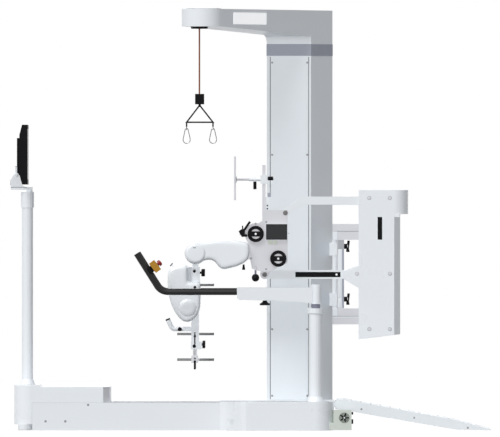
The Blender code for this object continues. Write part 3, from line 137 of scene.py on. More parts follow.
class Bench:
    """Modelling moves shared by all sub-assemblies."""

    @staticmethod
    def clear() -> None:
        """Leaves object mode with nothing selected."""
        if bpy.context.mode != "OBJECT":
            bpy.ops.object.mode_set(mode="OBJECT")
        bpy.ops.object.select_all(action="DESELECT")

    @staticmethod
    def pick(piece: Piece) -> Piece:
        """Selects one piece and makes it active.

        Args:
            piece: The piece to select.

        Returns:
            The same piece.
        """
        Bench.clear()
        piece.select_set(True)
        bpy.context.view_layer.objects.active = piece
        return piece

    @staticmethod
    def edit(piece: Piece) -> None:
        """Enters edit mode with everything selected.

        Args:
            piece: The piece to edit.
        """
        Bench.pick(piece)
        bpy.ops.object.mode_set(mode="EDIT")
        bpy.ops.mesh.select_all(action="SELECT")

    @staticmethod
    def settle(piece: Piece, name: str) -> Piece:
        """Names a piece and puts its place into its mesh.

        Args:
            piece: The piece to settle.
            name: The name it gets.

        Returns:
            The same piece, with its origin at the world's origin.
        """
        Bench.pick(piece)
        piece.name = piece.data.name = name
        bpy.ops.object.transform_apply(location=True, rotation=True, scale=True)
        return piece

    @staticmethod
    def apply(piece: Piece, kind: str, **settings: object) -> Piece:
        """Adds a modifier with its settings and applies it.

        Args:
            piece: The mesh piece.
            kind: The modifier's type.
            settings: Its properties.

        Returns:
            The same piece.
        """
        Bench.pick(piece)
        modifier = piece.modifiers.new(kind.title(), kind)
        for key, value in settings.items():
            setattr(modifier, key, value)
        bpy.ops.object.modifier_apply(modifier=modifier.name)
        return piece

    @staticmethod
    def bevel(piece: Piece, width: float, segments: int, angle: float, **settings: object) -> Piece:
        """Rounds the edges of a piece.

        Args:
            piece: The mesh piece.
            width: The bevel's width in metres.
            segments: How many faces the round has.
            angle: Edges sharper than this, in degrees, are rounded.
            settings: Other properties of the bevel.

        Returns:
            The same piece.
        """
        return Bench.apply(
            piece, "BEVEL", width=width, segments=segments, limit_method="ANGLE",
            angle_limit=math.radians(angle), **settings,
        )

    @staticmethod
    def soften(piece: Piece, width: float, segments: int = 3, angle: float = 35.0) -> Piece:
        """Rounds a piece's edges and shades it smooth.

        Args:
            piece: The mesh piece.
            width: The bevel's width in metres.
            segments: How many faces the round has.
            angle: Edges sharper than this, in degrees, are rounded.

        Returns:
            The same piece.
        """
        if width > 0:
            Bench.bevel(piece, width, segments, angle)
        Bench.pick(piece)
        bpy.ops.object.shade_smooth_by_angle(angle=math.radians(angle))
        return Bench.apply(piece, "WEIGHTED_NORMAL", keep_sharp=True, weight=90)

    @staticmethod
    def box(name: str, low: Point, high: Point, edge: float = 0.001) -> Piece:
        """A block with rounded edges.

        Args:
            name: The block's name.
            low: Its lowest corner.
            high: Its highest corner.
            edge: The width of its rounded edges.

        Returns:
            The block.
        """
        Bench.clear()
        middle = [(a + b) / 2 for a, b in zip(low, high)]
        bpy.ops.mesh.primitive_cube_add(size=1.0, location=middle)
        piece = bpy.context.object
        piece.scale = [b - a for a, b in zip(low, high)]
        return Bench.soften(Bench.settle(piece, name), edge)

    @staticmethod
    def slab(
        name: str, outline: Outline, axis: Axis, low: float, high: float, edge: float = 0.001
    ) -> Piece:
        """A flat outline extruded along an axis.

        Args:
            name: The piece's name.
            outline: Points in the two other row axes, in their order.
            axis: The axis that it is extruded along.
            low: Where it starts on that axis.
            high: Where it ends.
            edge: The width of its rounded edges.

        Returns:
            The new piece.
        """
        Bench.clear()
        bpy.ops.mesh.primitive_circle_add(vertices=len(outline), radius=1.0, fill_type="NGON")
        piece = bpy.context.object
        others = [i for i in range(3) if i != axis.value]
        for vertex, (u, v) in zip(piece.data.vertices, outline):
            place = [low, low, low]
            place[others[0]], place[others[1]] = u, v
            vertex.co = place
        Bench.edit(piece)
        step = [0.0, 0.0, 0.0]
        step[axis.value] = high - low
        bpy.ops.mesh.extrude_region_move(TRANSFORM_OT_translate={"value": step})
        bpy.ops.mesh.select_all(action="SELECT")
        bpy.ops.mesh.normals_make_consistent(inside=False)
        Bench.clear()
        return Bench.soften(Bench.settle(piece, name), edge)

    @staticmethod
    def aim(piece: Piece, towards: Point) -> None:
        """Turns a piece's own up axis towards a direction."""
        piece.rotation_mode = "QUATERNION"
        piece.rotation_quaternion = Vector(UP).rotation_difference(Vector(towards))

    @staticmethod
    def rod(
        name: str, radius: float, start: Point, end: Point, edge: float = 0.0006, sides: int = 32
    ) -> Piece:
        """A round bar between two points.

        Args:
            name: The bar's name.
            radius: Its radius.
            start: The middle of its first end.
            end: The middle of its other end.
            edge: The width of its softened rims.
            sides: How many faces go round.

        Returns:
            The bar.
        """
        Bench.clear()
        first, last = Vector(start), Vector(end)
        along = last - first
        bpy.ops.mesh.primitive_cylinder_add(
            vertices=sides, radius=radius, depth=along.length, location=(first + last) / 2
        )
        piece = bpy.context.object
        Bench.aim(piece, along)
        return Bench.soften(Bench.settle(piece, name), edge, 2)

    @staticmethod
    def knob(
        name: str, axis: Axis, centre: Point, radius: float, low: float, high: float, lobes: int = 7
    ) -> Piece:
        """A hand knob with finger lobes.

        Args:
            name: The knob's name.
            axis: The axis that it turns about.
            centre: Its place on the two other row axes.
            radius: How far the lobes reach.
            low: Where it starts on its axis.
            high: Where it ends.
            lobes: How many lobes it has.

        Returns:
            The knob.
        """
        outline = []
        for i in range(lobes * 6):
            turn = math.tau * i / (lobes * 6)
            reach = radius * (0.965 + 0.035 * math.cos(lobes * turn))
            outline.append((centre[0] + reach * math.cos(turn), centre[1] + reach * math.sin(turn)))
        return Bench.slab(name, outline, axis, low, high, radius * 0.14)

    @staticmethod
    def ball(name: str, radius: float, at: Point) -> Piece:
        """A smooth ball.

        Args:
            name: The ball's name.
            radius: Its radius.
            at: Its centre.

        Returns:
            The ball.
        """
        Bench.clear()
        bpy.ops.mesh.primitive_uv_sphere_add(segments=32, ring_count=20, radius=radius, location=at)
        return Bench.soften(Bench.settle(bpy.context.object, name), 0.0)

    @staticmethod
    def ring(name: str, centre: Point, radius: float, wire: float) -> Piece:
        """A wire ring that faces the near side.

        Args:
            name: The ring's name.
            centre: Its centre.
            radius: The radius of its middle line.
            wire: The wire's radius.

        Returns:
            The ring.
        """
        Bench.clear()
        bpy.ops.mesh.primitive_torus_add(
            major_radius=radius, minor_radius=wire, major_segments=32, minor_segments=8,
            location=centre, rotation=(math.radians(90.0), 0.0, 0.0),
        )
        return Bench.settle(bpy.context.object, name)

    @staticmethod
    def mould(name: str, outline: Outline, low: float, high: float, rim: float) -> Piece:
        """A softly rounded moulding over an outline in the side view.

        Args:
            name: The piece's name.
            outline: The moulding's outline.
            low: Where it starts on Y.
            high: Where it ends.
            rim: How far its rims are rounded.

        Returns:
            The moulding.
        """
        piece = Bench.slab(name, outline, Axis.Y, low, high, 0.0)
        Bench.bevel(piece, rim, 6, 50.0, use_clamp_overlap=False)
        Bench.apply(piece, "REMESH", mode="VOXEL", voxel_size=0.0033, use_smooth_shade=True)
        return Bench.apply(piece, "SMOOTH", factor=0.5, iterations=30)

    @staticmethod
    def lathe(name: str, profile: Outline, base: Point, towards: Point, sides: int = 40) -> Piece:
        """A turned piece, spun from (radius, height) points.

        Args:
            name: The piece's name.
            profile: Radii and heights along the axis, from one end to the other.
            base: The point at height zero.
            towards: The direction of growing height.
            sides: How many faces go round.

        Returns:
            The new piece.
        """
        Bench.clear()
        bpy.ops.mesh.primitive_circle_add(vertices=len(profile), radius=1.0)
        piece = bpy.context.object
        for vertex, (radius, height) in zip(piece.data.vertices, profile):
            vertex.co = (radius, 0.0, height)
        Bench.edit(piece)
        bpy.ops.mesh.spin(steps=sides, angle=math.tau, center=(0, 0, 0), axis=(0, 0, 1))
        bpy.ops.mesh.select_all(action="SELECT")
        bpy.ops.mesh.remove_doubles(threshold=0.00001)
        bpy.ops.mesh.normals_make_consistent(inside=False)
        Bench.clear()
        Bench.aim(piece, towards)
        piece.location = base
        return Bench.soften(Bench.settle(piece, name), 0.0)

    @staticmethod
    def cut(piece: Piece, *tools: Piece) -> Piece:
        """Subtracts other pieces from a piece.

        Args:
            piece: The piece that is cut.
            tools: What it is cut with, which is removed.

        Returns:
            The cut piece.
        """
        for tool in tools:
            Bench.apply(piece, "BOOLEAN", operation="DIFFERENCE", object=tool, solver="EXACT")
            bpy.data.objects.remove(tool)
        return Bench.soften(piece, 0.0)

    @staticmethod
    def join(name: str, pieces: Sequence[Piece]) -> Piece:
        """Makes several pieces one object.

        Args:
            name: The object's name.
            pieces: What it is made of.

        Returns:
            The object.
        """
        Bench.clear()
        for piece in pieces:
            piece.select_set(True)
        bpy.context.view_layer.objects.active = pieces[0]
        if len(pieces) > 1:
            bpy.ops.object.join()
        return Bench.settle(pieces[0], name)

    @staticmethod
    def mirror(piece: Piece, name: str) -> Piece:
        """A copy of a piece on the machine's other side, with its own mesh.

        Args:
            piece: The piece to copy.
            name: The copy's name.

        Returns:
            The mirrored copy.
        """
        other = piece.copy()
        other.data = piece.data.copy()
        bpy.context.scene.collection.objects.link(other)
        other.data.transform(MIRROR)
        other.data.flip_normals()
        other.name = other.data.name = name
        return other

    @staticmethod
    def from_node(node: str, name: str, edge: float, segments: int = 2) -> Piece:
        """A copy of a CAD node with rounded edges, which replaces it.

        Args:
            node: The CAD node.
            name: The new piece's name.
            edge: The width of the rounded edges.
            segments: How many faces each round has.

        Returns:
            The new piece, riding where the node rides.
        """
        source = bpy.data.objects[node]
        piece = source.copy()
        piece.data = source.data.copy()
        piece.parent = None
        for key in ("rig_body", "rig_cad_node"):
            del piece[key]
        bpy.context.scene.collection.objects.link(piece)
        piece.name = piece.data.name = name
        Bench.edit(piece)
        bpy.ops.mesh.remove_doubles(threshold=0.00002)
        bpy.ops.mesh.dissolve_limited(angle_limit=math.radians(1.0))
        Bench.soften(piece, edge, segments, 30.0)
        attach(piece, source["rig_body"])
        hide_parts(node)
        return piece


def wire(tree: Tree, source: Socket | float | Point, target: Socket) -> None:
    """Links a socket to an input, or sets the input to a value.

    Args:
        tree: The tree that both are in.
        source: The socket or the value.
        target: The input.
    """
    if isinstance(source, bpy.types.NodeSocket):
        tree.links.new(source, target)
    else:
        target.default_value = source


def make(tree: Tree, kind: str, inputs: dict | None = None, **settings: object) -> Node:
    """Adds a shader node.

    Args:
        tree: The tree that it goes in.
        kind: Its type, without the prefix that all shader nodes share.
        inputs: Sockets or values for its inputs, by name or number.
        settings: Its other properties.

    Returns:
        The new node.
    """
    node = tree.nodes.new("ShaderNode" + kind)
    for key, value in settings.items():
        setattr(node, key, value)
    for key, value in (inputs or {}).items():
        wire(tree, value, node.inputs[key])
    return node


def maths(tree: Tree, operation: str, first: object, second: object, **settings: object) -> Socket:
    """The result of a maths node over two sockets or values."""
    return make(tree, "Math", {0: first, 1: second}, operation=operation, **settings).outputs[0]


class EffectLibrary:
    """Shader node groups that the finishes share, each built once."""

    def __init__(self) -> None:
        """Starts with no groups built."""
        self._built: dict[str, Tree] = {}

    def group(self, name: str) -> Tree:
        """The named group, built the first time it is asked for.

        Args:
            name: The group's name, as a finish's texture gives it.

        Returns:
            The group.
        """
        if name not in self._built:
            self._built[name] = getattr(self, "_" + name)()
        return self._built[name]

    @staticmethod
    def _new(name: str, inputs: dict[str, float], outputs: Iterable[str]) -> tuple:
        """An empty group.

        Args:
            name: The group's name.
            inputs: Its number inputs with their usual values, beside its vector.
            outputs: What its results are called.

        Returns:
            The group, the sockets that it is given and the sockets that it gives.
        """
        tree = bpy.data.node_groups.new(name, "ShaderNodeTree")
        tree.interface.new_socket("Vector", in_out="INPUT", socket_type="NodeSocketVector")
        for key, value in inputs.items():
            socket = tree.interface.new_socket(key, in_out="INPUT", socket_type="NodeSocketFloat")
            socket.default_value = value
        for key in outputs:
            tree.interface.new_socket(key, in_out="OUTPUT", socket_type="NodeSocketFloat")
        return tree, tree.nodes.new("NodeGroupInput").outputs, tree.nodes.new("NodeGroupOutput").inputs

    @staticmethod
    def _noise(tree: Tree, vector: Socket, scale: Socket, factor: float, detail: float) -> Socket:
        """A noise inside a group.

        Args:
            tree: The group.
            vector: Where the noise is read.
            scale: The group's own scale.
            factor: How much finer than that the noise is.
            detail: How much detail it has.

        Returns:
            The noise's strength.
        """
        inputs = {"Vector": vector, "Scale": maths(tree, "MULTIPLY", scale, factor), "Detail": detail}
        return make(tree, "TexNoise", inputs).outputs["Fac"]

    def _grain(self) -> Tree:
        """Fine surface grain with slow smudges that vary roughness and tone."""
        tree, given, gives = self._new("Grain", {"Scale": 600.0, "Smudge": 0.1}, ("Height", "Variation"))
        slow = self._noise(tree, given["Vector"], given["Scale"], 0.012, 2.0)
        limits = {"Value": slow, "From Min": 0.3, "From Max": 0.7, "To Min": -1.0}
        spread = make(tree, "MapRange", limits).outputs["Result"]
        wire(tree, self._noise(tree, given["Vector"], given["Scale"], 1.0, 3.0), gives["Height"])
        wire(tree, maths(tree, "MULTIPLY", spread, given["Smudge"]), gives["Variation"])
        return tree

    def _brushing(self) -> Tree:
        """Long scratches along the group's X."""
        tree, given, gives = self._new("Brushing", {"Scale": 900.0}, ("Height",))
        stretch = make(tree, "Mapping", {"Vector": given["Vector"], "Scale": (0.03, 1.0, 1.0)})
        wire(tree, self._noise(tree, stretch.outputs[0], given["Scale"], 1.0, 4.0), gives["Height"])
        return tree

    def _ribs(self) -> Tree:
        """Fine crossing ribs, as on a walking belt or a braid."""
        tree, given, gives = self._new("Ribs", {"Scale": 400.0}, ("Height",))
        inputs = {key: given[key] for key in ("Vector", "Scale")}
        waves = [make(tree, "TexWave", inputs, bands_direction=way).outputs["Fac"] for way in "XY"]
        wire(tree, maths(tree, "MULTIPLY", *waves), gives["Height"])
        return tree

    def _wear(self) -> Tree:
        """A mask of rubbed spots, strongest where two noises agree."""
        tree, given, gives = self._new("Wear", {"Scale": 40.0, "Amount": 0.3}, ("Mask",))
        ends = given["Vector"], given["Scale"]
        broad, fine = self._noise(tree, *ends, 0.25, 3.0), self._noise(tree, *ends, 3.0, 6.0)
        both = maths(tree, "MULTIPLY", broad, fine)
        spots = make(tree, "MapRange", {"Value": both, "From Min": 0.3, "From Max": 0.42}).outputs["Result"]
        wire(tree, maths(tree, "MULTIPLY", spots, given["Amount"]), gives["Mask"])
        return tree


EFFECTS = EffectLibrary()


class Texture(Enum):
    """The relief that a finish carries."""

    GRAIN = "grain"
    BRUSHING = "brushing"
    RIBS = "ribs"


@dataclass(frozen=True)
class Finish:
    """A surface finish that builds its own procedural material."""

    title: str
    colour: tuple[float, float, float]
    roughness: float = 0.4
    metallic: float = 0.0
    coat: float = 0.0
    sheen: float = 0.0
    specular: float = 0.5
    texture: Texture = Texture.GRAIN
    scale: float = 600.0
    relief: float = 0.02
    depth: float = 0.0004
    smudge: float = 0.05
    worn: tuple[float, float, float] | None = None
    wear: float = 0.0
    glow: float = 0.0

    def material(self) -> bpy.types.Material:
        """The finish's material, made once.

        Returns:
            A node material under the finish's title.
        """
        found = bpy.data.materials.get(self.title)
        if found:
            return found
        material = bpy.data.materials.new(self.title)
        material.use_nodes = True
        tree = material.node_tree
        shader = tree.nodes["Principled BSDF"]
        shader.inputs["Base Color"].default_value = (*self.colour, 1.0)
        shader.inputs["Roughness"].default_value = self.roughness
        place = make(tree, "TexCoord").outputs["Object"]
        relief = self._add(tree, self.texture.value, place, Scale=self.scale)["Height"]
        smudge = self._add(tree, "grain", place, Scale=SMUDGE_SCALE, Smudge=self.smudge)["Variation"]
        bump = make(tree, "Bump", {"Strength": self.relief, "Distance": self.depth, "Height": relief})
        inputs = {
            "Metallic": self.metallic,
            "Coat Weight": self.coat,
            "Coat Roughness": 0.08,
            "Sheen Weight": self.sheen,
            "Specular IOR Level": self.specular,
            "Normal": bump.outputs["Normal"],
            "Roughness": maths(tree, "ADD", smudge, self.roughness, use_clamp=True),
            "Base Color": self._tone(tree, smudge, place),
        }
        # Emission makes a part glow though it is no lamp: painted light.
        if self.glow:
            inputs.update({"Emission Color": (*self.colour, 1.0), "Emission Strength": self.glow})
        for key, value in inputs.items():
            wire(tree, value, shader.inputs[key])
        return material

    @staticmethod
    def _add(tree: Tree, effect: str, place: Socket, **values: float) -> dict[str, Socket]:
        """The outputs of a shared effect group, placed in a material with its own values."""
        inputs = {"Vector": place, **values}
        return make(tree, "Group", inputs, node_tree=EFFECTS.group(effect)).outputs

    def _tone(self, tree: Tree, smudge: Socket, place: Socket) -> Socket:
        """The colour with a slight change of tone and, where the finish has it, rubbed spots.

        Args:
            tree: The material's tree.
            smudge: How far the tone has changed.
            place: Where the effects are read.

        Returns:
            The colour's socket.
        """
        darker = [value * DARKER for value in self.colour]
        ends = {"Factor": smudge, "A": (*self.colour, 1.0), "B": (*darker, 1.0)}
        tone = make(tree, "Mix", ends, data_type="RGBA").outputs["Result"]
        if not self.worn:
            return tone
        mask = self._add(tree, "wear", place, Scale=WEAR_SCALE, Amount=self.wear)["Mask"]
        ends = {"Factor": mask, "A": tone, "B": (*self.worn, 1.0)}
        return make(tree, "Mix", ends, data_type="RGBA").outputs["Result"]

    def dress(self, piece: Piece) -> Piece:
        """Gives a piece this finish as its only one.

        Args:
            piece: The piece to cover.

        Returns:
            The same piece.
        """
        piece.data.materials.clear()
        piece.data.materials.append(self.material())
        return piece


WHITE_PAINT = Finish("White_paint", (0.8, 0.83, 0.86), 0.42, coat=0.15, smudge=0.06)
WHITE_COVER = Finish("White_moulding", (0.81, 0.84, 0.87), 0.3, coat=0.3, scale=900.0)
PANEL_WHITE = Finish("Panel_white", (0.81, 0.85, 0.88), 0.45, coat=0.1)
GREY_PAINT = Finish("Grey_paint", (0.52, 0.54, 0.58), 0.45, coat=0.1)
MID_GREY = Finish("Mid_grey", (0.4, 0.41, 0.43), 0.42)
BAND_GREY = Finish("Band_grey", (0.34, 0.36, 0.42), 0.42)
LIGHT_GREY = Finish("Light_grey_paint", (0.68, 0.68, 0.71), 0.42, coat=0.1)
SEAM_GREY = Finish("Seam_grey", (0.26, 0.27, 0.29), 0.6)
RING_GREY = Finish("Ring_grey", (0.19, 0.19, 0.25), 0.4)
STEEL = Finish("Brushed_steel", (0.6, 0.61, 0.63), 0.3, 1.0, texture=Texture.BRUSHING, relief=0.05)
HOOK_STEEL = Finish("Hook_steel", (0.27, 0.27, 0.27), 0.42, 0.5, texture=Texture.BRUSHING, relief=0.05)
BOLT_GREY = Finish("Bolt_grey", (0.17, 0.16, 0.16), 0.45, 0.4)
SCREW = Finish("Screw_zinc", (0.34, 0.34, 0.36), 0.45, 0.6, texture=Texture.BRUSHING, relief=0.04)
BLACK = Finish(
    "Black_moulding", (0.007, 0.007, 0.008), 0.5, specular=0.07, scale=1400.0, relief=0.1,
    worn=(0.02, 0.02, 0.022), wear=0.25,
)
SOFT_BLACK = Finish(
    "Black_grip_foam", (0.009, 0.009, 0.009), 0.5, specular=0.28, scale=1800.0, relief=0.2,
    worn=(0.03, 0.03, 0.031), wear=0.35,
)
BELT = Finish(
    "Belt_rubber", (0.02, 0.02, 0.022), 0.72, texture=Texture.RIBS, scale=180.0, relief=0.35,
    worn=(0.05, 0.05, 0.05), wear=0.3,
)
BRAID = Finish(
    "Rope_braid", (0.27, 0.082, 0.036), 0.8, sheen=0.1, texture=Texture.RIBS, scale=420.0,
    relief=0.8, depth=0.0012,
)
GLASS_BLACK = Finish("Display_glass", (0.006, 0.007, 0.009), 0.24, specular=0.1, relief=0.0)
DISPLAY_GREY = Finish("Display_grey", (0.02, 0.021, 0.022), 0.35, specular=0.3, relief=0.0)
CUFF_GREY = Finish("Cuff_grey", (0.25, 0.25, 0.255), 0.6, specular=0.3, scale=1500.0, relief=0.12)
YELLOW = Finish("Stop_yellow", (0.42, 0.21, 0.02), 0.42, specular=0.3)
RED = Finish("Stop_red", (0.26, 0.006, 0.006), 0.36, specular=0.3)
BOX_GREY = Finish("Box_grey", (0.6, 0.64, 0.59), 0.5)
KEY_WHITE = Finish("Key_white", (0.62, 0.66, 0.58), 0.4, relief=0.0)
LABEL = Finish("Blank_label", (0.9, 0.92, 0.93), 0.35, relief=0.0)
# The blank arm plate glows though it is no lamp: painted light that makes it brighter than the arm's paint.
GLOWING_PLATE_WHITE = Finish("Glowing_painted_light_plate", (0.92, 0.93, 0.94), 0.35, relief=0.0, glow=0.42)


class Studio:
    """Camera, lights, floor and backdrop."""

    def build(self) -> None:
        """Sets the camera, the lamps, the world and the floor."""
        self._camera()
        self._world()
        front, back = (-0.35, -0.62, 0.7), (-0.1, 0.8, 0.6)
        self._lamp("Key", front, 0.85, 24.0)
        self._lamp("Fill", front, 1.92, 24.0).use_shadow = False
        self._lamp("Rear", back, 0.6, 30.0)
        self._floor()
        bpy.context.scene.view_settings.view_transform = "Standard"

    @staticmethod
    def _camera() -> None:
        """A long lens at the photograph's viewing angle."""
        data = bpy.data.cameras.new("Camera")
        data.lens = LENS_MM
        data.sensor_width = SENSOR_MM
        distance = LENS_MM / SENSOR_MM * IMAGE[0] * METRES_PER_PIXEL
        data.clip_end = distance * 2
        camera = bpy.data.objects.new("Camera", data)
        camera.location = (VIEW_CENTRE[0], -distance, VIEW_CENTRE[1])
        camera.rotation_euler = (math.radians(90.0), 0.0, 0.0)
        bpy.context.scene.collection.objects.link(camera)
        bpy.context.scene.camera = camera

    @staticmethod
    def _lamp(name: str, source: Point, strength: float, spread: float) -> bpy.types.Light:
        """A soft distant lamp.

        Args:
            name: The lamp's name.
            source: The direction that its light comes from.
            strength: Its strength.
            spread: How wide it looks, in degrees.

        Returns:
            The lamp's settings.
        """
        data = bpy.data.lights.new(name, "SUN")
        data.energy = strength
        data.angle = math.radians(spread)
        lamp = bpy.data.objects.new(name, data)
        lamp.rotation_euler = Vector(source).to_track_quat("Z", "Y").to_euler()
        bpy.context.scene.collection.objects.link(lamp)
        return data

    @staticmethod
    def _seen(tree: Tree) -> Socket:
        """Tells what is seen or mirrored from what only lights.

        Args:
            tree: The tree that it is for.

        Returns:
            One where a camera, glossy or transmission ray meets the surface.
        """
        path = make(tree, "LightPath").outputs
        mirrored = maths(tree, "MAXIMUM", path["Is Camera Ray"], path["Is Glossy Ray"])
        return maths(tree, "MAXIMUM", mirrored, path["Is Transmission Ray"])

    @staticmethod
    def _mix(tree: Tree, share: Socket, first: Node, second: Node, end: str) -> None:
        """Sends two shaders, mixed by a share, to the output of a tree."""
        mix = make(tree, "MixShader", {"Fac": share, 1: first.outputs[0], 2: second.outputs[0]})
        wire(tree, mix.outputs[0], tree.nodes[end].inputs["Surface"])

    def _world(self) -> None:
        """A white world to the camera and soft light to everything else."""
        world = bpy.data.worlds.new("Studio")
        bpy.context.scene.world = world
        world.use_nodes = True
        tree = world.node_tree
        soft = tree.nodes["Background"]
        soft.inputs["Color"].default_value = (0.93, 0.96, 1.0, 1.0)
        soft.inputs["Strength"].default_value = 0.31
        white = make(tree, "Background", {"Color": (1.0, 1.0, 1.0, 1.0)})
        self._mix(tree, self._seen(tree), soft, white, "World Output")

    def _floor(self) -> None:
        """A wide white floor that keeps the machine's shadow."""
        Bench.clear()
        bpy.ops.mesh.primitive_plane_add(size=60.0, location=(0.0, 0.0, -0.0008))
        floor = bpy.context.object
        floor.name = "Floor"
        material = bpy.data.materials.new("Studio_floor")
        material.use_nodes = True
        tree = material.node_tree
        shader = tree.nodes["Principled BSDF"]
        shader.inputs["Base Color"].default_value = (0.35, 0.35, 0.35, 1.0)
        shader.inputs["Roughness"].default_value = 0.9
        share = maths(tree, "MULTIPLY", self._seen(tree), 0.9)
        self._mix(tree, share, shader, make(tree, "Emission", {"Strength": 1.077}), "Material Output")
        floor.data.materials.append(material)


@dataclass
class Assembly:
    """A sub-assembly that adds pieces to one body of the machine."""

    body: str = "base"
    made: list[str] = field(default_factory=list)

    def add(self, piece: Piece, finish: Finish, body: str | None = None) -> Piece:
        """Finishes a piece, lets it ride on a body and notes its name.

        Args:
            piece: The finished mesh.
            finish: What it is covered with.
            body: The body it rides on, where that isn't the assembly's own.

        Returns:
            The same piece.
        """
        finish.dress(piece)
        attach(piece, body or self.body)
        self.made.append(piece.name)
        return piece

    def block(
        self, name: str, low: Point, high: Point, edge: float, finish: Finish, body: str | None = None
    ) -> None:
        """Adds a block between two corners."""
        self.add(Bench.box(name, low, high, edge), finish, body)

    def redo(
        self, node: str, name: str, edge: float, segments: int, finish: Finish, body: str | None = None
    ) -> None:
        """Puts a rounded copy of a CAD node in its place."""
        self.add(Bench.from_node(node, name, edge, segments), finish, body)

    def group(
        self, name: str, pieces: Sequence[Piece], finish: Finish, body: str | None = None
    ) -> None:
        """Adds several meshes as one piece."""
        self.add(Bench.join(name, pieces), finish, body)

    def pair(self, piece: Piece, finish: Finish, body: str, node: str | None = None) -> None:
        """Adds a piece of the left side and its mirror image on the right.

        Args:
            piece: The left piece, named without its side.
            finish: What both are covered with.
            body: The body that they ride on, with a star for the side.
            node: The CAD node that they replace, named in the same way.
        """
        name = piece.name
        twins = {"left": piece, "right": Bench.mirror(piece, "right_" + name)}
        piece.name = piece.data.name = "left_" + name
        for side, twin in twins.items():
            self.add(twin, finish, body.replace("*", side))
            if node:
                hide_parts(node.replace("*", side))

    @staticmethod
    def finish_nodes(**finishes: Finish) -> None:
        """Gives CAD nodes their finishes."""
        for node, finish in finishes.items():
            finish.dress(bpy.data.objects[node])

    @staticmethod
    def screw(name: str, at: Point, out: Point, radius: float) -> Piece:
        """A domed socket screw on a washer.

        Args:
            name: The screw's name.
            at: The point of the surface that it sits on.
            out: The surface's outward direction.
            radius: The head's radius.

        Returns:
            The screw as one mesh.
        """
        high = radius * 0.42
        shape = [(1.45, 0.35), (1.0, 0.4), (0.93, 1.0), (0.5, 1.15), (0.5, 0.3), (0.0, 0.3)]
        profile = [(0.0, -0.0006), (radius * 1.45, -0.0006)]
        profile += [(radius * wide, high * up) for wide, up in shape]
        return Bench.lathe(name, profile, at, out, 18)

    def screws(
        self, name: str, places: Iterable[Point], out: Point, radius: float, finish: Finish | None = None
    ) -> None:
        """Adds a set of equal screws as one piece."""
        heads = [self.screw(f"{name}_{i}", at, out, radius) for i, at in enumerate(places)]
        self.group(name, heads, finish or SCREW)

    def build(self) -> None:
        """Makes every piece of the sub-assembly."""
        raise NotImplementedError


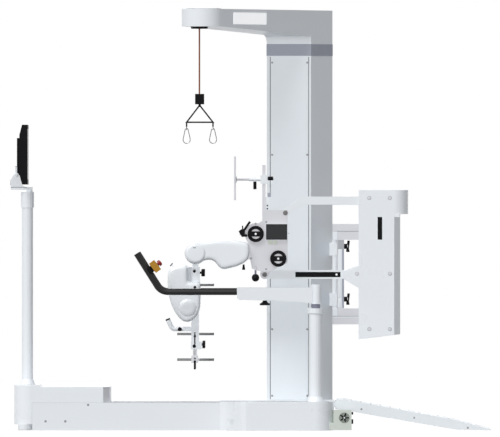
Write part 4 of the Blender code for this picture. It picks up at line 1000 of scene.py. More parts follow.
@dataclass
class Treadmill(Assembly):
    """Belt bed, side rails, motor housing, pods and power box."""

    rail_top: float = 0.1565
    strip_middle: float = 0.3475

    def build(self) -> None:
        """Dresses the base and adds its trim."""
        self.finish_nodes(
            treadmill_frame=WHITE_PAINT, walking_belt=BELT, front_roller=STEEL, rear_roller=STEEL,
            drive_motor=GREY_PAINT, cooling_fan=BLACK,
        )
        self._hood()
        base = [(0.0, 0.0008), (0.037, 0.0008), (0.039, 0.003), (0.039, 0.0345), (0.0, 0.0345)]
        feet = [Bench.lathe("foot", base, (-1.2925, side * 0.36, 0.0), UP) for side in SIDES.values()]
        self.group("front_feet", feet, WHITE_PAINT)
        pod = Bench.from_node("left_pod", "left_pod_cover", 0.006, 3)
        notch = Bench.box("notch", (0.4366, -0.7, -0.01), (0.48, -0.43, 0.044), 0.0)
        slots = [
            Bench.box("slot", (x, -0.6, 0.033), (x + 0.0035, -0.405, 0.066), 0.0)
            for x in (-0.1225, -0.1115)
        ]
        self.add(Bench.cut(pod, notch, *slots), WHITE_COVER)
        self.block("power_step", (0.4376, -0.529, 0.003), (0.47, -0.432, 0.043), 0.0015, BOX_GREY)
        self.redo("right_pod", "right_pod_cover", 0.006, 3, WHITE_COVER)
        self.redo("power_box", "power_case", 0.003, 3, BOX_GREY)
        self._side_trim()
        self._fan_guard()
        plug = Bench.rod("plug", 0.0078, (0.56, -0.47, 0.0975), (0.572, -0.47, 0.0975), 0.0012)
        socket = Bench.box("socket", (0.56, -0.478, 0.0375), (0.572, -0.462, 0.064), 0.0012)
        self.group("power_plugs", [plug, socket], BLACK)

    def _hood(self) -> None:
        """The motor housing with its cut rear corners, closed by grey panels whose grey is painted shade of
        the turned-away corners.
        """
        hood = Bench.from_node("motor_housing", "motor_hood", 0.0)
        corners, panels = [], []
        wedge = [(-0.85, 0.402), (-0.805, 0.357), (-0.79, 0.42), (-0.83, 0.44)]
        panel = [(-0.8505, 0.3996), (-0.8072, 0.3565), (-0.811, 0.352), (-0.856, 0.396)]
        for side in SIDES.values():
            plans = [[(x, side * y) for x, y in plan] for plan in (wedge, panel)]
            corners.append(Bench.slab("corner", plans[0], Axis.Z, self.rail_top, 0.3, 0.0))
            panels.append(Bench.slab("panel", plans[1], Axis.Z, 0.157, 0.2464, 0.0015))
        self.add(Bench.soften(Bench.cut(hood, *corners), 0.008, 4, 30.0), WHITE_COVER)
        # The corner panels are grey as painted shade: the housing's white where it turns away from the light.
        self.group("hood_corner_shade_panels", panels, LIGHT_GREY)

    def _side_trim(self) -> None:
        """Ribbed standing strips on top of both rails and screws on their sides."""
        low, high = self.rail_top - 0.0005, self.rail_top + 0.0004
        for name, side in SIDES.items():
            edge = side * self.strip_middle - 0.035
            ribs = [
                Bench.box("rib", (-0.79, edge + 0.01 * i, low), (0.44, edge + 0.006 + 0.01 * i, high), 0.0002)
                for i in range(8)
            ]
            self.group(name + "_tread_strip", ribs, BLACK)
        for name, side in (("rail_screws", -1), ("far_rail_screws", 1)):
            places = [(-1.1747, 0.0513), (-1.0625, 0.0513), (-0.9331, 0.1442)]
            self.screws(name, [(x, side * 0.4, z) for x, z in places], (0, side, 0), 0.005)

    def _fan_guard(self) -> None:
        """A wire guard over the cooling fan."""
        centre = (0.521, -0.5312, 0.0724)
        wires = [Bench.ring("ring", centre, 0.0085 + 0.0065 * i, 0.0011) for i in range(4)]
        for a in (0.785, 2.356, 3.927, 5.498):
            end = (centre[0] + 0.029 * math.cos(a), centre[1], centre[2] + 0.029 * math.sin(a))
            wires.append(Bench.rod("spoke", 0.0008, centre, end, 0, 8))
        self.group("fan_guard", wires, BLACK)
        cap = [(0.0, 0.0), (0.0046, 0.0), (0.0042, 0.0014), (0.0, 0.0018)]
        self.add(Bench.lathe("guard_cap", cap, centre, NEAR, 20), LABEL)


@dataclass
class Ramp(Assembly):
    """The folding ramp behind the treadmill."""

    body: str = "ramp_leaf"
    start: tuple[float, float] = (0.5227, 0.1756)
    bend: tuple[float, float] = (1.1343, 0.0633)
    slopes: tuple[float, float] = (0.1836, 0.2638)
    pitch: float = 0.055
    half_strip: float = 0.36

    def _top(self, x: float) -> float:
        """The height of the ramp's top.

        Args:
            x: The place along the ramp.

        Returns:
            The height there.
        """
        if x < self.bend[0]:
            return self.start[1] - (x - self.start[0]) * self.slopes[0]
        return self.bend[1] - (x - self.bend[0]) * self.slopes[1]

    def build(self) -> None:
        """Rounds the ramp and adds grip strips and screws."""
        self.redo("ramp", "ramp_plate", 0.0015, 2, PANEL_WHITE)
        strips = []
        for i in range(14):
            x, y = 0.56 + i * self.pitch, self.half_strip
            z = self._top(x)
            strips.append(Bench.box("strip", (x, -y, z - 0.0012), (x + 0.008, y, z + 0.0002), 0.0001))
        self.group("ramp_grips", strips, GREY_PAINT)
        for name, side in SIDES.items():
            spots = [(x, side * 0.385, z) for x, z in ((0.619, 0.12), (0.9185, 0.0712), (1.2226, 0.0142))]
            self.screws(name + "_ramp_screws", spots, (0, side, 0), 0.004)


@dataclass
class MonitorStand(Assembly):
    """Pole, bracket and screen."""

    def build(self) -> None:
        """Dresses the pole and gives the case its screen and vents."""
        neck, head = "monitor_neck", "monitor_head"
        self.finish_nodes(monitor_post=WHITE_PAINT)
        self.redo("monitor_bracket", "tilt_bracket", 0.002, 2, WHITE_PAINT, neck)
        case = Bench.from_node("monitor", "monitor_case", 0.004, 3)
        past = Bench.box("past", (-1.36, -0.024, 1.436), (-1.3412, 0.024, 1.498), 0.0)
        self.add(Bench.cut(case, past), BLACK, head)
        lug = [
            (-1.3518, 1.4978), (-1.3518, 1.4478), (-1.3468, 1.4418), (-1.3408, 1.444), (-1.3408, 1.4978),
        ]
        self.add(Bench.slab("tilt_lug", lug, Axis.Y, -0.02, 0.02), WHITE_PAINT, head)
        cap = [(0.0, 0.0), (0.0085, 0.0), (0.0085, 0.0058), (0.007, 0.0072), (0.0, 0.0076)]
        caps = [
            Bench.lathe("cap", cap, (-1.345, side * 0.0346, 1.453), (0, side, 0), 28)
            for side in SIDES.values()
        ]
        self.group("tilt_caps", caps, WHITE_PAINT, neck)
        low, high = (-1.3802, -0.012, 1.3945), (-1.3765, 0.012, 1.42)
        self.block("bracket_clip", low, high, 0.0008, SEAM_GREY, neck)
        low, high = (-1.3765, -0.0506, 1.3785), (-1.2848, 0.0506, 1.3824)
        self.block("bracket_gasket", low, high, 0.0006, SEAM_GREY, neck)
        low, high = (-1.28, -0.255, 1.425), (-1.2785, 0.255, 1.715)
        self.block("monitor_screen", low, high, 0.0005, GLASS_BLACK, head)
        vents = [
            Bench.box("vent", (-1.3412, -0.1, 1.52 + i * 0.01), (-1.34, 0.1, 1.524 + i * 0.01), 0.0004)
            for i in range(12)
        ]
        self.group("monitor_vents", vents, DISPLAY_GREY, head)
        self.screws("collar_screw", [(-1.282, 0.037, 1.31)], (0, 1, 0), 0.004)


@dataclass
class Column(Assembly):
    """Column with its panel, band and the gantry arm."""

    left: float = 0.083
    near: float = 0.65
    far: float = 0.92
    corner: tuple[float, float] = (0.336, 0.65)
    side_corner: tuple[float, float] = (0.46, 0.821)
    arm_tip: tuple[float, float] = (-0.279, 0.0)

    def build(self) -> None:
        """Dresses column and arm and adds the panel with its screws."""
        self.finish_nodes(column_shell=WHITE_PAINT, winch_drum=STEEL, arm_pulley=STEEL)
        self.redo("gantry_arm", "arm_cover", 0.002, 2, WHITE_PAINT)
        low, high, front = 0.166, 2.13, self.near - 0.0025
        ends = (0.106, front, low), (0.317, self.near + 0.001, high)
        self.block("column_panel", *ends, 0.0008, PANEL_WHITE)
        spots = [(x, front, z) for x in (0.1134, 0.3146) for z in (2.097, 1.5681, 0.5672, 0.186)]
        self.screws("panel_screws", spots, NEAR, 0.0042)
        edges = self.near - 0.0004, self.near + 0.002
        seams = [
            Bench.box("seam", (x - 0.0026, edges[0], low), (x + 0.0026, edges[1], high), 0.0003)
            for x in (0.103, 0.3226)
        ]
        self.group("panel_seams", seams, SEAM_GREY)
        band = Bench.slab("column_band", self._plan(0.0018), Axis.Z, 2.136, 2.2035, 0.0005)
        hole = Bench.slab("hole", self._plan(-0.002), Axis.Z, 2.086, 2.2535, 0.0)
        self.add(Bench.cut(band, hole), BAND_GREY)
        self.add(self._flare(), WHITE_PAINT)
        self._arm_trim()

    def _plan(self, grow: float) -> Outline:
        """The column's five sides from above.

        Args:
            grow: How far they are moved outwards.

        Returns:
            The outline.
        """
        return [
            (self.left - grow, self.near - grow),
            (self.corner[0] + grow * 0.5, self.corner[1] - grow),
            (self.side_corner[0] + grow, self.side_corner[1] - grow * 0.5),
            (self.side_corner[0] + grow, self.far + grow),
            (self.left - grow, self.far + grow),
        ]

    def _flare(self) -> Piece:
        """The hollow curve by which the column widens into the arm."""
        low, high, out = 2.2047, 2.254, 0.015
        steps = [math.radians(90.0 * i / 8) for i in range(9)]
        curve = [(out * (1.0 - math.cos(a)), low + (high - low) * math.sin(a)) for a in steps]
        plan = [(self.near - 0.0006 - reach, z) for reach, z in curve]
        plan += [(self.far + 0.0006 + reach, z) for reach, z in reversed(curve)]
        flare = Bench.slab("arm_flare", plan, Axis.X, 0.05, 0.334, 0.0)
        front = [(self.left - 0.0006 - reach, z) for reach, z in curve]
        front = [(front[0][0], low - 0.01)] + front + [(front[-1][0], high + 0.01)]
        front += [(0.03, high + 0.01), (0.03, low - 0.01)]
        return Bench.cut(flare, Bench.slab("front", front, Axis.Y, 0.6, 0.98, 0.0))

    def _arm_trim(self) -> None:
        """Rope guide ring, blank plate that glows as painted light, lid and screws of the arm."""
        profile = [
            (0.0085, 2.299), (0.008, 2.2866), (0.011, 2.284), (0.044, 2.284), (0.0485, 2.287),
            (0.0487, 2.299),
        ]
        self.add(Bench.lathe("rope_guide_ring", profile, (-0.302, 0, 0), UP), BLACK)
        along = (Vector(self.side_corner) - Vector(self.corner)).normalized()
        across = Vector((along[1], -along[0]))
        middle = Vector(self.arm_tip) + across * 0.124
        first, last = (middle + along * reach for reach in (0.1207, 0.4407))
        outline = [first, last, last + across * 0.0016, first + across * 0.0016]
        # The blank plate's glow is painted light, not a lamp.
        self.add(Bench.slab("arm_plate_painted_glow", outline, Axis.Z, 2.3114, 2.3769, 0.0005), GLOWING_PLATE_WHITE)
        edge = [(0.0, 2.396), (0.1, 2.396), (0.1008, 2.3968), (0.1008, 2.3992), (0.0, 2.3992)]
        lid = [(0.0, 2.399), (0.0985, 2.399), (0.0985, 2.3996), (0.097, 2.4004), (0.0, 2.4006)]
        for name, profile, finish in (("lid_edge", edge, SEAM_GREY), ("arm_lid", lid, WHITE_COVER)):
            self.add(Bench.lathe(name, profile, (-0.2785, 0, 0), UP, 64), finish)
        spots = [(-0.36, 0.0, 2.4004), (-0.2, 0.0, 2.4004), (0.1, 0.5, 2.397), (0.38, 0.86, 2.397)]
        self.screws("lid_screws", spots, UP, 0.0045)


@dataclass
class Lift(Assembly):
    """Rope, load block, spreader bar and carabiners."""

    body: str = "lift"
    rope_x: float = -0.302
    rope_radius: float = 0.0045
    block_z: float = 1.9129
    pulley_z: float = 2.345
    travel: float = 0.3

    def build(self) -> None:
        """Replaces the rope with a braided one and rounds the load parts."""
        top = (self.rope_x, 0, self.pulley_z)
        rope = Bench.rod("rope_strand", self.rope_radius, (self.rope_x, 0, 1.913), top, 0.0, 24)
        self.add(rope, BRAID, "base")
        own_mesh(rope)
        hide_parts("lift_rope")
        self.redo("spreader_bar", "spreader_frame", 0.0012, 3, BLACK)
        sleeves = [
            Bench.box("sleeve", (x - 0.0042, -0.0101, 1.7252), (x + 0.0042, 0.0101, 1.7505))
            for x in (-0.375, -0.2246)
        ]
        self.group("link_sleeves", sleeves, BLACK)
        for name in ("front", "rear"):
            self.finish_nodes(**{name + "_carabiner": HOOK_STEEL, name + "_gate": HOOK_STEEL})


@dataclass
class Carrier(Assembly):
    """Door post, door frame, cabinet and the two link pairs."""

    body: str = "door"
    cabinet_y: float = 0.178
    clamp_at: tuple[float, float] = (0.548, 0.68)

    def build(self) -> None:
        """Rounds the carrier's parts and adds bolts, levers and the slot."""
        self.finish_nodes(door_post=WHITE_PAINT)
        self.redo("upper_link", "upper_bars", 0.003, 3, WHITE_PAINT, "upper_arm")
        self.redo("lower_link", "lower_bars", 0.003, 3, WHITE_PAINT, "lower_arm")
        self.redo("door_frame", "door_beams", 0.0025, 2, LIGHT_GREY)
        self.redo("cabinet_shell", "cabinet_cover", 0.003, 3, WHITE_COVER)
        for name, side in SIDES.items():
            self._cabinet_side(name, side)
        self.block("hood_under", (0.804, -0.177, 1.208), (0.8396, 0.177, 1.23), 0.003, WHITE_COVER)
        for label, z in (("low", 0.74), ("high", 1.043)):
            self._clamp(label, z)
        self._stile_trim()
        pin = [(0.0, 0.0), (0.0065, 0.0), (0.006, 0.0016), (0.0, 0.0018)]
        for name, side in SIDES.items():
            at = (0.4788, side * 0.166, 0.8835)
            self.add(Bench.lathe(name + "_strip_pin", pin, at, (0, side, 0), 20), LABEL, "lower_arm")

    def _cabinet_side(self, name: str, side: float) -> None:
        """Screws, slot, strip, pivot bolts and ear on one side of the cabinet.

        Args:
            name: The side's name.
            side: Its sign on Y.
        """
        out = (0, side, 0)
        spots = [
            (0.6652, 1.319), (0.782, 1.319), (0.5957, 0.888), (0.782, 0.888), (0.6652, 0.573),
            (0.782, 0.573),
        ]
        heads = [(x, side * self.cabinet_y, z) for x, z in spots]
        self.screws(name + "_cabinet_screws", heads, out, 0.0062, LIGHT_GREY)
        rims = [Bench.ring("rim", (x, side * 0.1782, z), 0.0102, 0.001) for x, z in spots]
        self.group(name + "_screw_rims", rims, SEAM_GREY)
        y0, y1 = sorted((side * 0.1772, side * 0.1788))
        self.block(name + "_scale_slot", (0.7125, y0, 1.082), (0.7385, y1, 1.2115), 0.0012, BLACK)
        y0, y1 = sorted((side * 0.1645, side * 0.1662))
        ends = (0.2445, y0, 0.869), (0.501, y1, 0.8985)
        self.block(name + "_link_strip", *ends, 0.0012, BLACK, "lower_arm")
        cap = [(0.0, 0.006), (0.007, 0.0055), (0.0125, 0.004), (0.0135, 0.0), (0.0, 0.0)]
        for label, (x, z) in (("upper_cap", UPPER_PIVOT), ("lower_cap", LOWER_PIVOT)):
            bolt = Bench.lathe(f"{name}_{label}", cap, (x, side * 0.18, z), out, 28)
            self.add(bolt, BOLT_GREY, "pelvis")
        y0, y1 = sorted((side * 0.1686, side * 0.1776))
        ear = [
            (0.612, 0.803), (0.612, 0.9385), (0.524, 0.905), (0.5165, 0.896), (0.5145, 0.884),
            (0.5165, 0.869), (0.524, 0.856),
        ]
        self.add(Bench.slab(name + "_ear", ear, Axis.Y, y0, y1), WHITE_COVER)

    def _clamp(self, label: str, z: float) -> None:
        """The black star handle of a door clamp.

        Args:
            label: Which clamp it is.
            z: Its height.
        """
        x, y = self.clamp_at
        hub = Bench.knob(label + "_hub", Axis.X, (y, z), 0.015, 0.5252, x - 0.004, 5)
        arm = Bench.rod("arm", 0.0074, (0.5445, y, z - 0.0325), (0.5525, y, z + 0.033), 0.002)
        foot = [
            (0.539, z - 0.02), (0.5545, z - 0.0335), (0.558, z - 0.032), (0.553, z - 0.005),
            (0.54, z + 0.006),
        ]
        wedge = Bench.slab("wedge", foot, Axis.Y, y - 0.009, y + 0.009, 0.002)
        self.group(label + "_clamp", [hub, arm, wedge], BLACK)

    def _stile_trim(self) -> None:
        """White tube, dark edge, caps and seams of the door frame."""
        for label, x0, x1, y0, y1, z0, z1, edge, finish in (
            ("stile_tube", 0.493, 0.5128, 0.6535, 0.6565, 0.748, 1.0271, 0.0012, WHITE_PAINT),
            ("stile_edge", 0.515, 0.5258, 0.6535, 0.6565, 0.69, 1.0271, 0.0008, BAND_GREY),
            ("stile_cap", 0.4905, 0.5258, 0.6535, 0.6565, 1.0275, 1.078, 0.0008, MID_GREY),
            ("post_cap", 0.46, 0.4873, 0.6435, 0.649, 1.08, 1.1286, 0.0014, WHITE_PAINT),
            ("post_foot", 0.46, 0.4873, 0.6435, 0.649, 0.6444, 0.6866, 0.0014, WHITE_PAINT),
            ("stile_foot", 0.493, 0.513, 0.653, 0.6585, 0.6937, 0.745, 0.0014, WHITE_PAINT),
        ):
            self.block(label, (x0, y0, z0), (x1, y1, z1), edge, finish)
        seams = [
            Bench.box("seam", (0.461, 0.6465, z - 0.0014), (0.629, 0.649, z + 0.0014), 0.0003)
            for z in (1.1292, 0.642)
        ]
        self.group("beam_seams", seams, SEAM_GREY)
        self.block("beam_line", (0.461, 0.6462, 0.634), (0.629, 0.649, 0.64), 0.0006, WHITE_PAINT)


@dataclass
class PelvisSide(Assembly):
    """Pelvis plate with display, hand wheels, hip cover, lever and knobs."""

    body: str = "*_side"
    face: float = -0.314

    def build(self) -> None:
        """Dresses both sides of the pelvis."""
        self.finish_nodes(pelvis_frame=LIGHT_GREY)
        for name in SIDES:
            self.redo(name + "_pelvis_plate", name + "_side_plate", 0.0012, 2, LIGHT_GREY, name + "_side")
        self._hip_cover()
        self._display()
        self._lever()
        self._knobs()
        for label, at in WHEELS.items():
            self._hand_wheel(label, at)
        self._fasteners()

    def _hip_cover(self) -> None:
        """The moulded hip cover with its round boss."""
        outline = HIP_COVER_TOP + arc(HIP, 0.0627, 88, 318, 16) + HIP_COVER_LOW
        cover = Bench.mould("hip_shell", outline, -0.3858, -0.25, 0.02)
        inside = Bench.box("inside", (-0.45, -0.3146, 0.85), (0.05, -0.25, 1.15), 0.0)
        self.pair(Bench.cut(cover, inside), WHITE_COVER, self.body, "*_hip_cover")
        boss = [
            (0.0, 0.0), (0.059, 0.0), (0.0588, 0.006), (0.0578, 0.011), (0.055, 0.016),
            (0.0505, 0.0198), (0.045, 0.022), (0.0405, 0.0227), (0.0, 0.023),
        ]
        at = (HIP[0], -0.372, HIP[1])
        self.pair(Bench.lathe("hip_boss", boss, at, NEAR, 56), WHITE_COVER, self.body)
        mark = Bench.box("hip_mark", (-0.337, -0.3953, 1.0345), (-0.321, -0.3935, 1.038), 0.0005)
        self.pair(mark, BLACK, self.body)

    def _display(self) -> None:
        """The side display with its frame, glass and keys."""
        frame = Bench.box("display_frame", (0.0776, -0.3407, 1.0822), (0.1971, -0.338, 1.1707), 0.0012)
        self.pair(frame, BLACK, self.body)
        glass = Bench.box("display", (0.0815, -0.3414, 1.086), (0.1932, -0.3395, 1.1669), 0.0008)
        self.pair(glass, DISPLAY_GREY, self.body)
        low, high = self.face - 0.0022, self.face + 0.0005
        keys = [
            Bench.box("key", (x, low, 1.055), (x + 0.0245, high, 1.0775), 0.0018) for x in (0.088, 0.1175)
        ]
        self.pair(Bench.join("display_keys", keys), KEY_WHITE, self.body)

    def _lever(self) -> None:
        """The black clamp lever before the depth wheel."""
        y = self.face - 0.002
        block = [(-0.0595, 1.0965), (-0.0425, 1.104), (-0.0415, 1.14), (-0.06, 1.1435), (-0.079, 1.13)]
        pieces = [
            Bench.rod("hub", 0.0085, (-0.037, self.face - 0.012, 1.106), (-0.037, self.face, 1.106)),
            Bench.rod("shank", 0.0068, (-0.033, y, 1.1062), (-0.056, y, 1.105)),
            Bench.slab("grip", block, Axis.Y, y - 0.0145, y + 0.0145, 0.003),
            Bench.rod("bar", 0.0066, (-0.053, y, 1.128), (-0.0135, y, 1.185), 0.002),
            Bench.rod("pin", 0.0034, (-0.0545, y, 1.138), (-0.0567, y, 1.1615)),
        ]
        self.pair(Bench.join("clamp_lever", pieces), BLACK, self.body)

    def _knobs(self) -> None:
        """The ball knob under the plate and the small knob under the cover."""
        x, y = 0.0177, self.face - 0.002
        self.pair(Bench.ball("ball_knob", 0.0213, (x, y, 0.8653)), BLACK, self.body)
        self.pair(Bench.rod("ball_stem", 0.0056, (x, y, 0.884), (x, y, 0.9085)), RING_GREY, self.body)
        cone = [
            (0.0, 0.0), (0.0085, 0.0), (0.0086, 0.004), (0.0062, 0.018), (0.0054, 0.029), (0.0, 0.029),
        ]
        small = Bench.lathe("small_knob", cone, (-0.05, -0.34, 0.911), UP, 24)
        self.pair(small, BLACK, self.body)

    def _hand_wheel(self, label: str, at: Point) -> None:
        """A hand wheel with a centre cap, and a pale disc behind its windows that is painted light: it stands
        in for the lit plate seen through them.

        Args:
            label: Which wheel it is.
            at: Its centre in the side view.
        """
        body = f"*_{label}_knob"
        for name in SIDES:
            node, copy = f"{name}_{label}_wheel", f"{name}_{label}_rim"
            self.redo(node, copy, 0.0025, 3, BLACK, body.replace("*", name))
        start, end, base = ((at[0], self.face - out, at[1]) for out in (0.019, 0.008, 0.024))
        # The pale grey hub behind the windows is painted light, standing in for the lit plate seen through
        # them.
        self.pair(Bench.rod(label + "_hub", 0.03, start, end), LIGHT_GREY, body)
        cap = [(0.0, 0.0), (0.0062, 0.0), (0.0058, 0.0012), (0.0, 0.0018)]
        self.pair(Bench.lathe(label + "_cap", cap, base, NEAR, 20), LABEL, body)

    def _fasteners(self) -> None:
        """Screws and the upper pivot bolt on the plate."""
        places = [(0.018, 1.173), (0.0779, 1.1832), (0.0168, 0.9262), (0.0779, 0.9148), (-0.008, 0.9758)]
        heads = [self.screw("head", (x, self.face, z), NEAR, 0.0042) for x, z in places]
        self.pair(Bench.join("plate_screws", heads), SCREW, self.body)
        bolt = [
            (0.0, 0.0), (0.0138, 0.0), (0.0132, 0.0045), (0.0105, 0.0058), (0.01, 0.0046), (0.0, 0.0046),
        ]
        at = (UPPER_PIVOT[0], self.face, UPPER_PIVOT[1])
        self.pair(Bench.lathe("pivot_bolt", bolt, at, NEAR, 32), BOLT_GREY, self.body)
        stub = Bench.rod("edge_stub", 0.0042, (0.199, -0.308, 1.119), (0.209, -0.308, 1.119))
        self.pair(stub, STEEL, self.body)


@dataclass
class Legs(Assembly):
    """Thigh, knee, shank, cuffs and foot lifters."""

    knee: str = "*_knee_block"
    bar_y: float = -0.2415

    def build(self) -> None:
        """Dresses both legs."""
        for name in SIDES:
            nodes = ("_thigh_bar", "_knee_carrier", "_shank_bar", "_foot_lifter")
            self.finish_nodes(**{name + node: WHITE_PAINT for node in nodes})
            self.finish_nodes(**{name + "_shank_slide": LIGHT_GREY})
        self._knee_cover()
        self._carrier_trim()
        self._shank_trim()
        self._ankle_trim()
        self._cuffs()
        self._lifter_trim()

    def _knee_cover(self) -> None:
        """The moulded knee cover with its boss, notch and dot."""
        cover = Bench.mould("knee_shell", KNEE_COVER, -0.3508, -0.2, 0.02)
        inside = Bench.box("inside", (-0.55, -0.2677, 0.55), (-0.25, -0.2, 1.0), 0.0)
        slot = Bench.box("slot", (-0.343, -0.298, 0.82), (-0.306, -0.25, 0.86), 0.0)
        dimple = Bench.ball("dimple", 0.016, (-0.322, -0.3612, 0.6914))
        self.pair(Bench.cut(cover, inside, slot, dimple), WHITE_COVER, self.knee, "*_knee_cover")
        boss = [
            (0.0, 0.0), (0.053, 0.0), (0.0525, 0.006), (0.05, 0.0105), (0.045, 0.0145),
            (0.038, 0.0178), (0.03, 0.0196), (0.026, 0.0199), (0.0, 0.02),
        ]
        at = (KNEE[0], -0.34, KNEE[1])
        self.pair(Bench.lathe("knee_boss", boss, at, NEAR, 56), WHITE_COVER, self.knee)
        dots = [
            Bench.rod("dot", 0.008, (-0.327, -0.352, 0.8123), (-0.327, -0.344, 0.8123)),
            Bench.rod("pin", 0.0026, (-0.4677, -0.264, 0.9323), (-0.4554, -0.264, 0.9468)),
        ]
        self.pair(Bench.join("knee_marks", dots), BLACK, self.knee)
        start, end = (-0.45, -0.264, 0.922), (-0.4606, -0.264, 0.9385)
        self.pair(Bench.rod("pin_stem", 0.0022, start, end, 0.0003, 12), WHITE_COVER, self.knee)

    def _carrier_trim(self) -> None:
        """Knob, dot and grey strip of the knee carrier."""
        y, z = -0.283, 0.894
        knob = Bench.knob("carrier_knob", Axis.X, (y, z), 0.021, -0.2905, -0.2705)
        stem = Bench.rod("stem", 0.0057, (-0.2998, y, z), (-0.2895, y, z))
        dot = Bench.rod("dot", 0.0088, (-0.3295, -0.308, 0.904), (-0.3295, -0.3045, 0.904))
        self.pair(Bench.join("carrier_knobs", [knob, stem, dot]), BLACK, self.knee)
        strip = Bench.box("carrier_strip", (-0.3673, -0.3206, 0.8455), (-0.3475, -0.268, 0.9256), 0.0015)
        self.pair(strip, GREY_PAINT, self.knee)

    def _shank_trim(self) -> None:
        """Knob, scale and clamp dots of the shank."""
        y, z, face = self.bar_y, 0.485, -0.258
        marks = [
            Bench.knob("shank_knob", Axis.X, (y, z), 0.021, -0.2845, -0.2685),
            Bench.rod("stem", 0.0057, (-0.2878, y, z), (-0.284, y, z)),
            Bench.box("scale", (-0.3308, face - 0.0009, 0.47), (-0.3238, face + 0.0005, 0.5555), 0.0004),
        ]
        for x, at, radius in ((-0.3305, 0.4766, 0.0098), (-0.3272, 0.5325, 0.0068)):
            marks.append(Bench.rod("dot", radius, (x, face - 0.0025, at), (x, face, at)))
        self.pair(Bench.join("shank_marks", marks), BLACK, "*_shank")

    def _ankle_trim(self) -> None:
        """Scale ticks, dots and pin of the shank's slide."""
        marks = [
            Bench.box("tick", (-0.3345, -0.2534, z), (-0.3225, -0.2525, z + 0.0016), 0.0002)
            for z in (0.426, 0.433, 0.44, 0.447, 0.454)
        ]
        for z, radius in ((0.389, 0.0072), (0.4065, 0.0048)):
            marks.append(Bench.rod("dot", radius, (-0.3275, -0.26, z), (-0.3275, -0.2565, z)))
        marks.append(Bench.rod("pin", 0.0056, (-0.3278, self.bar_y, 0.3445), (-0.3278, self.bar_y, 0.3825)))
        self.pair(Bench.join("ankle_marks", marks), BLACK, "*_ankle")

    def _cuffs(self) -> None:
        """Grey lining over every cuff band, with dark ends."""
        for label, y, z, body in (
            ("thigh", -0.2593, 0.8237, self.knee),
            ("calf", -0.225, 0.5444, "*_shank"),
            ("ankle", -0.227, 0.3984, "*_ankle"),
        ):
            x, middle = -0.3236, y + 0.1
            ring = arc((x, middle), 0.1044, 180, 360, 40) + arc((x, middle), 0.0956, 360, 180, 40)
            lining = Bench.slab(label + "_cuff_lining", ring, Axis.Z, z - 0.0058, z + 0.0058, 0.0012)
            low, high = (x - 0.024, y - 0.02), (x + 0.022, y + 0.02)
            core = [low, (high[0], low[1]), high, (low[0], high[1])]
            hole = Bench.slab("core", core, Axis.Z, z - 0.02, z + 0.02, 0.0)
            self.pair(Bench.cut(lining, hole), CUFF_GREY, body)
            ends = (middle - 0.011, z - 0.0066), (middle + 0.0022, z + 0.0066)
            tips = [
                Bench.box("tip", (at - 0.0048, *ends[0]), (at + 0.0048, *ends[1]), 0.0026)
                for at in (-0.4236, -0.2236)
            ]
            self.pair(Bench.join(label + "_cuff_tips", tips), SOFT_BLACK, body)

    def _lifter_trim(self) -> None:
        """Knob and open tip of the foot lifter."""
        y = self.bar_y
        knob = Bench.knob("lifter_knob", Axis.Y, (-0.4128, 0.5734), 0.0125, y - 0.0235, y - 0.01, 6)
        self.pair(knob, BLACK, "*_lifter")
        tip, along = Vector((-0.4822, y, 0.628)), Vector((-0.36, 0.0, 0.93)).normalized()
        sleeve = [
            (0.0085, 0.002), (0.0085, -0.004), (0.012, -0.004), (0.0124, -0.003), (0.0124, 0.002),
            (0.0116, 0.0032), (0.0092, 0.0032),
        ]
        self.pair(Bench.lathe("lifter_tip", sleeve, tip, along, 32), SOFT_BLACK, "*_lifter")


@dataclass
class BackPad(Assembly):
    """Back support plate on its sliding holder."""

    body: str = "pad_carrier"

    def build(self) -> None:
        """Rounds the holder and the plate and adds the black handles."""
        self.redo("pad_slide", "pad_holder", 0.0015, 2, WHITE_PAINT)
        self.redo("back_plate", "back_panel", 0.002, 2, LIGHT_GREY, "pad")
        handle = Bench.rod("pad_handle", 0.0093, (0.0143, 0, 1.369), (0.0143, 0, 1.414), 0.003)
        knob = Bench.rod("pad_knob", 0.011, (0.0858, 0, 1.431), (0.1205, 0, 1.431), 0.0045)
        self.group("pad_grips", [handle, knob], BLACK)
        for name, x0, x1, y, z0, z1, edge, finish in (
            ("guard_cover", 0.0768, 0.1054, 0.0148, 1.11, 1.3262, 0.0012, WHITE_PAINT),
            ("guard_band", 0.0866, 0.1056, 0.0152, 1.3255, 1.3492, 0.001, BAND_GREY),
            ("guard_edge", 0.0758, 0.079, 0.0152, 1.11, 1.3255, 0.0008, LIGHT_GREY),
        ):
            self.block(name, (x0, -y, z0), (x1, y, z1), edge, finish, "pelvis")
        dots = [
            Bench.rod("dot", 0.0046, (0.085, -0.0158, z), (0.085, -0.014, z)) for z in (1.2586, 1.2762)
        ]
        self.group("guard_marks", dots, BLACK, "pelvis")


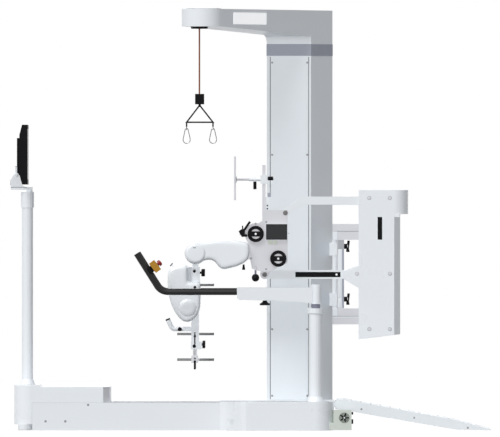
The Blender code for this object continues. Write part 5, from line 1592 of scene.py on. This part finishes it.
@dataclass
class Handrails(Assembly):
    """Posts, arms, grips and the emergency stop."""

    body: str = "left_handle"
    rail: str = "*_rail"
    y: float = -0.45

    def build(self) -> None:
        """Dresses both handrails."""
        for name, side in SIDES.items():
            self.finish_nodes(**{name + "_rail_post": WHITE_PAINT, name + "_grip": SOFT_BLACK})
            cover = Bench.from_node(name + "_rail_arm", name + "_rail_cover", 0.004, 3)
            middle = side * -self.y
            head = Bench.box("head", (0.3412, middle - 0.04, 0.7174), (0.42, middle + 0.04, 0.84), 0.0)
            self.add(Bench.cut(cover, head), WHITE_PAINT, name + "_rail")
        drum = [
            (0.0, 0.7172), (0.0252, 0.7172), (0.0268, 0.719), (0.0268, 0.8232), (0.0252, 0.8248),
            (0.0, 0.8248),
        ]
        self.pair(Bench.lathe("rail_head", drum, (0.364, self.y, 0), UP, 48), WHITE_PAINT, self.rail)
        ring = [(0.0236, 0.715), (0.0236, 0.694), (0.0244, 0.6932), (0.0244, 0.7168), (0.0236, 0.7171)]
        self.pair(Bench.lathe("post_ring", ring, (0.3597, self.y, 0), UP), RING_GREY, self.rail)
        star = Bench.knob("star", Axis.Z, (0.071, self.y), 0.0295, 0.7098, 0.7168, 6)
        cone = [
            (0.0, 0.715), (0.0276, 0.715), (0.0165, 0.7232), (0.0125, 0.7262), (0.0125, 0.7388),
            (0.0, 0.7388),
        ]
        hub = Bench.lathe("hub", cone, (0.071, self.y, 0), UP, 32)
        self.pair(Bench.join("star_knob", [star, hub]), BLACK, self.rail)
        self.redo("stop_box", "stop_housing", 0.0025, 3, YELLOW)
        self.finish_nodes(stop_button=RED)
        self._stop_mount()

    def _stop_mount(self) -> None:
        """The dark clamp that holds the stop box on the grip, and the button's collar."""
        along, out = Vector((-0.604, 0.0, 0.797)), Vector((0.797, 0.0, 0.604))
        middle = Vector((-0.5832, self.y, 0.9075))
        clamp = Bench.rod("stop_mount", 0.0212, middle - along * 0.019, middle + along * 0.019, 0.0015)
        self.add(clamp, BLACK)
        ring = [(0.011, 0.0), (0.02, 0.0), (0.02, 0.0007), (0.0192, 0.0012), (0.011, 0.0012)]
        self.add(Bench.lathe("stop_collar", ring, middle + out * 0.0563, out, 32), BLACK)


def main() -> None:
    """Loads the frame, builds every sub-assembly and reports its pieces."""
    logging.basicConfig(level=logging.INFO, format="%(message)s")
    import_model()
    Studio().build()
    for assembly in (
        Treadmill(), Ramp(), MonitorStand(), Column(), Lift(), Carrier(), PelvisSide(), Legs(),
        BackPad(), Handrails(),
    ):
        assembly.build()
        LOG.info("%s: %s", type(assembly).__name__, ", ".join(assembly.made))
    Bench.clear()


if __name__ == "__main__":
    main()
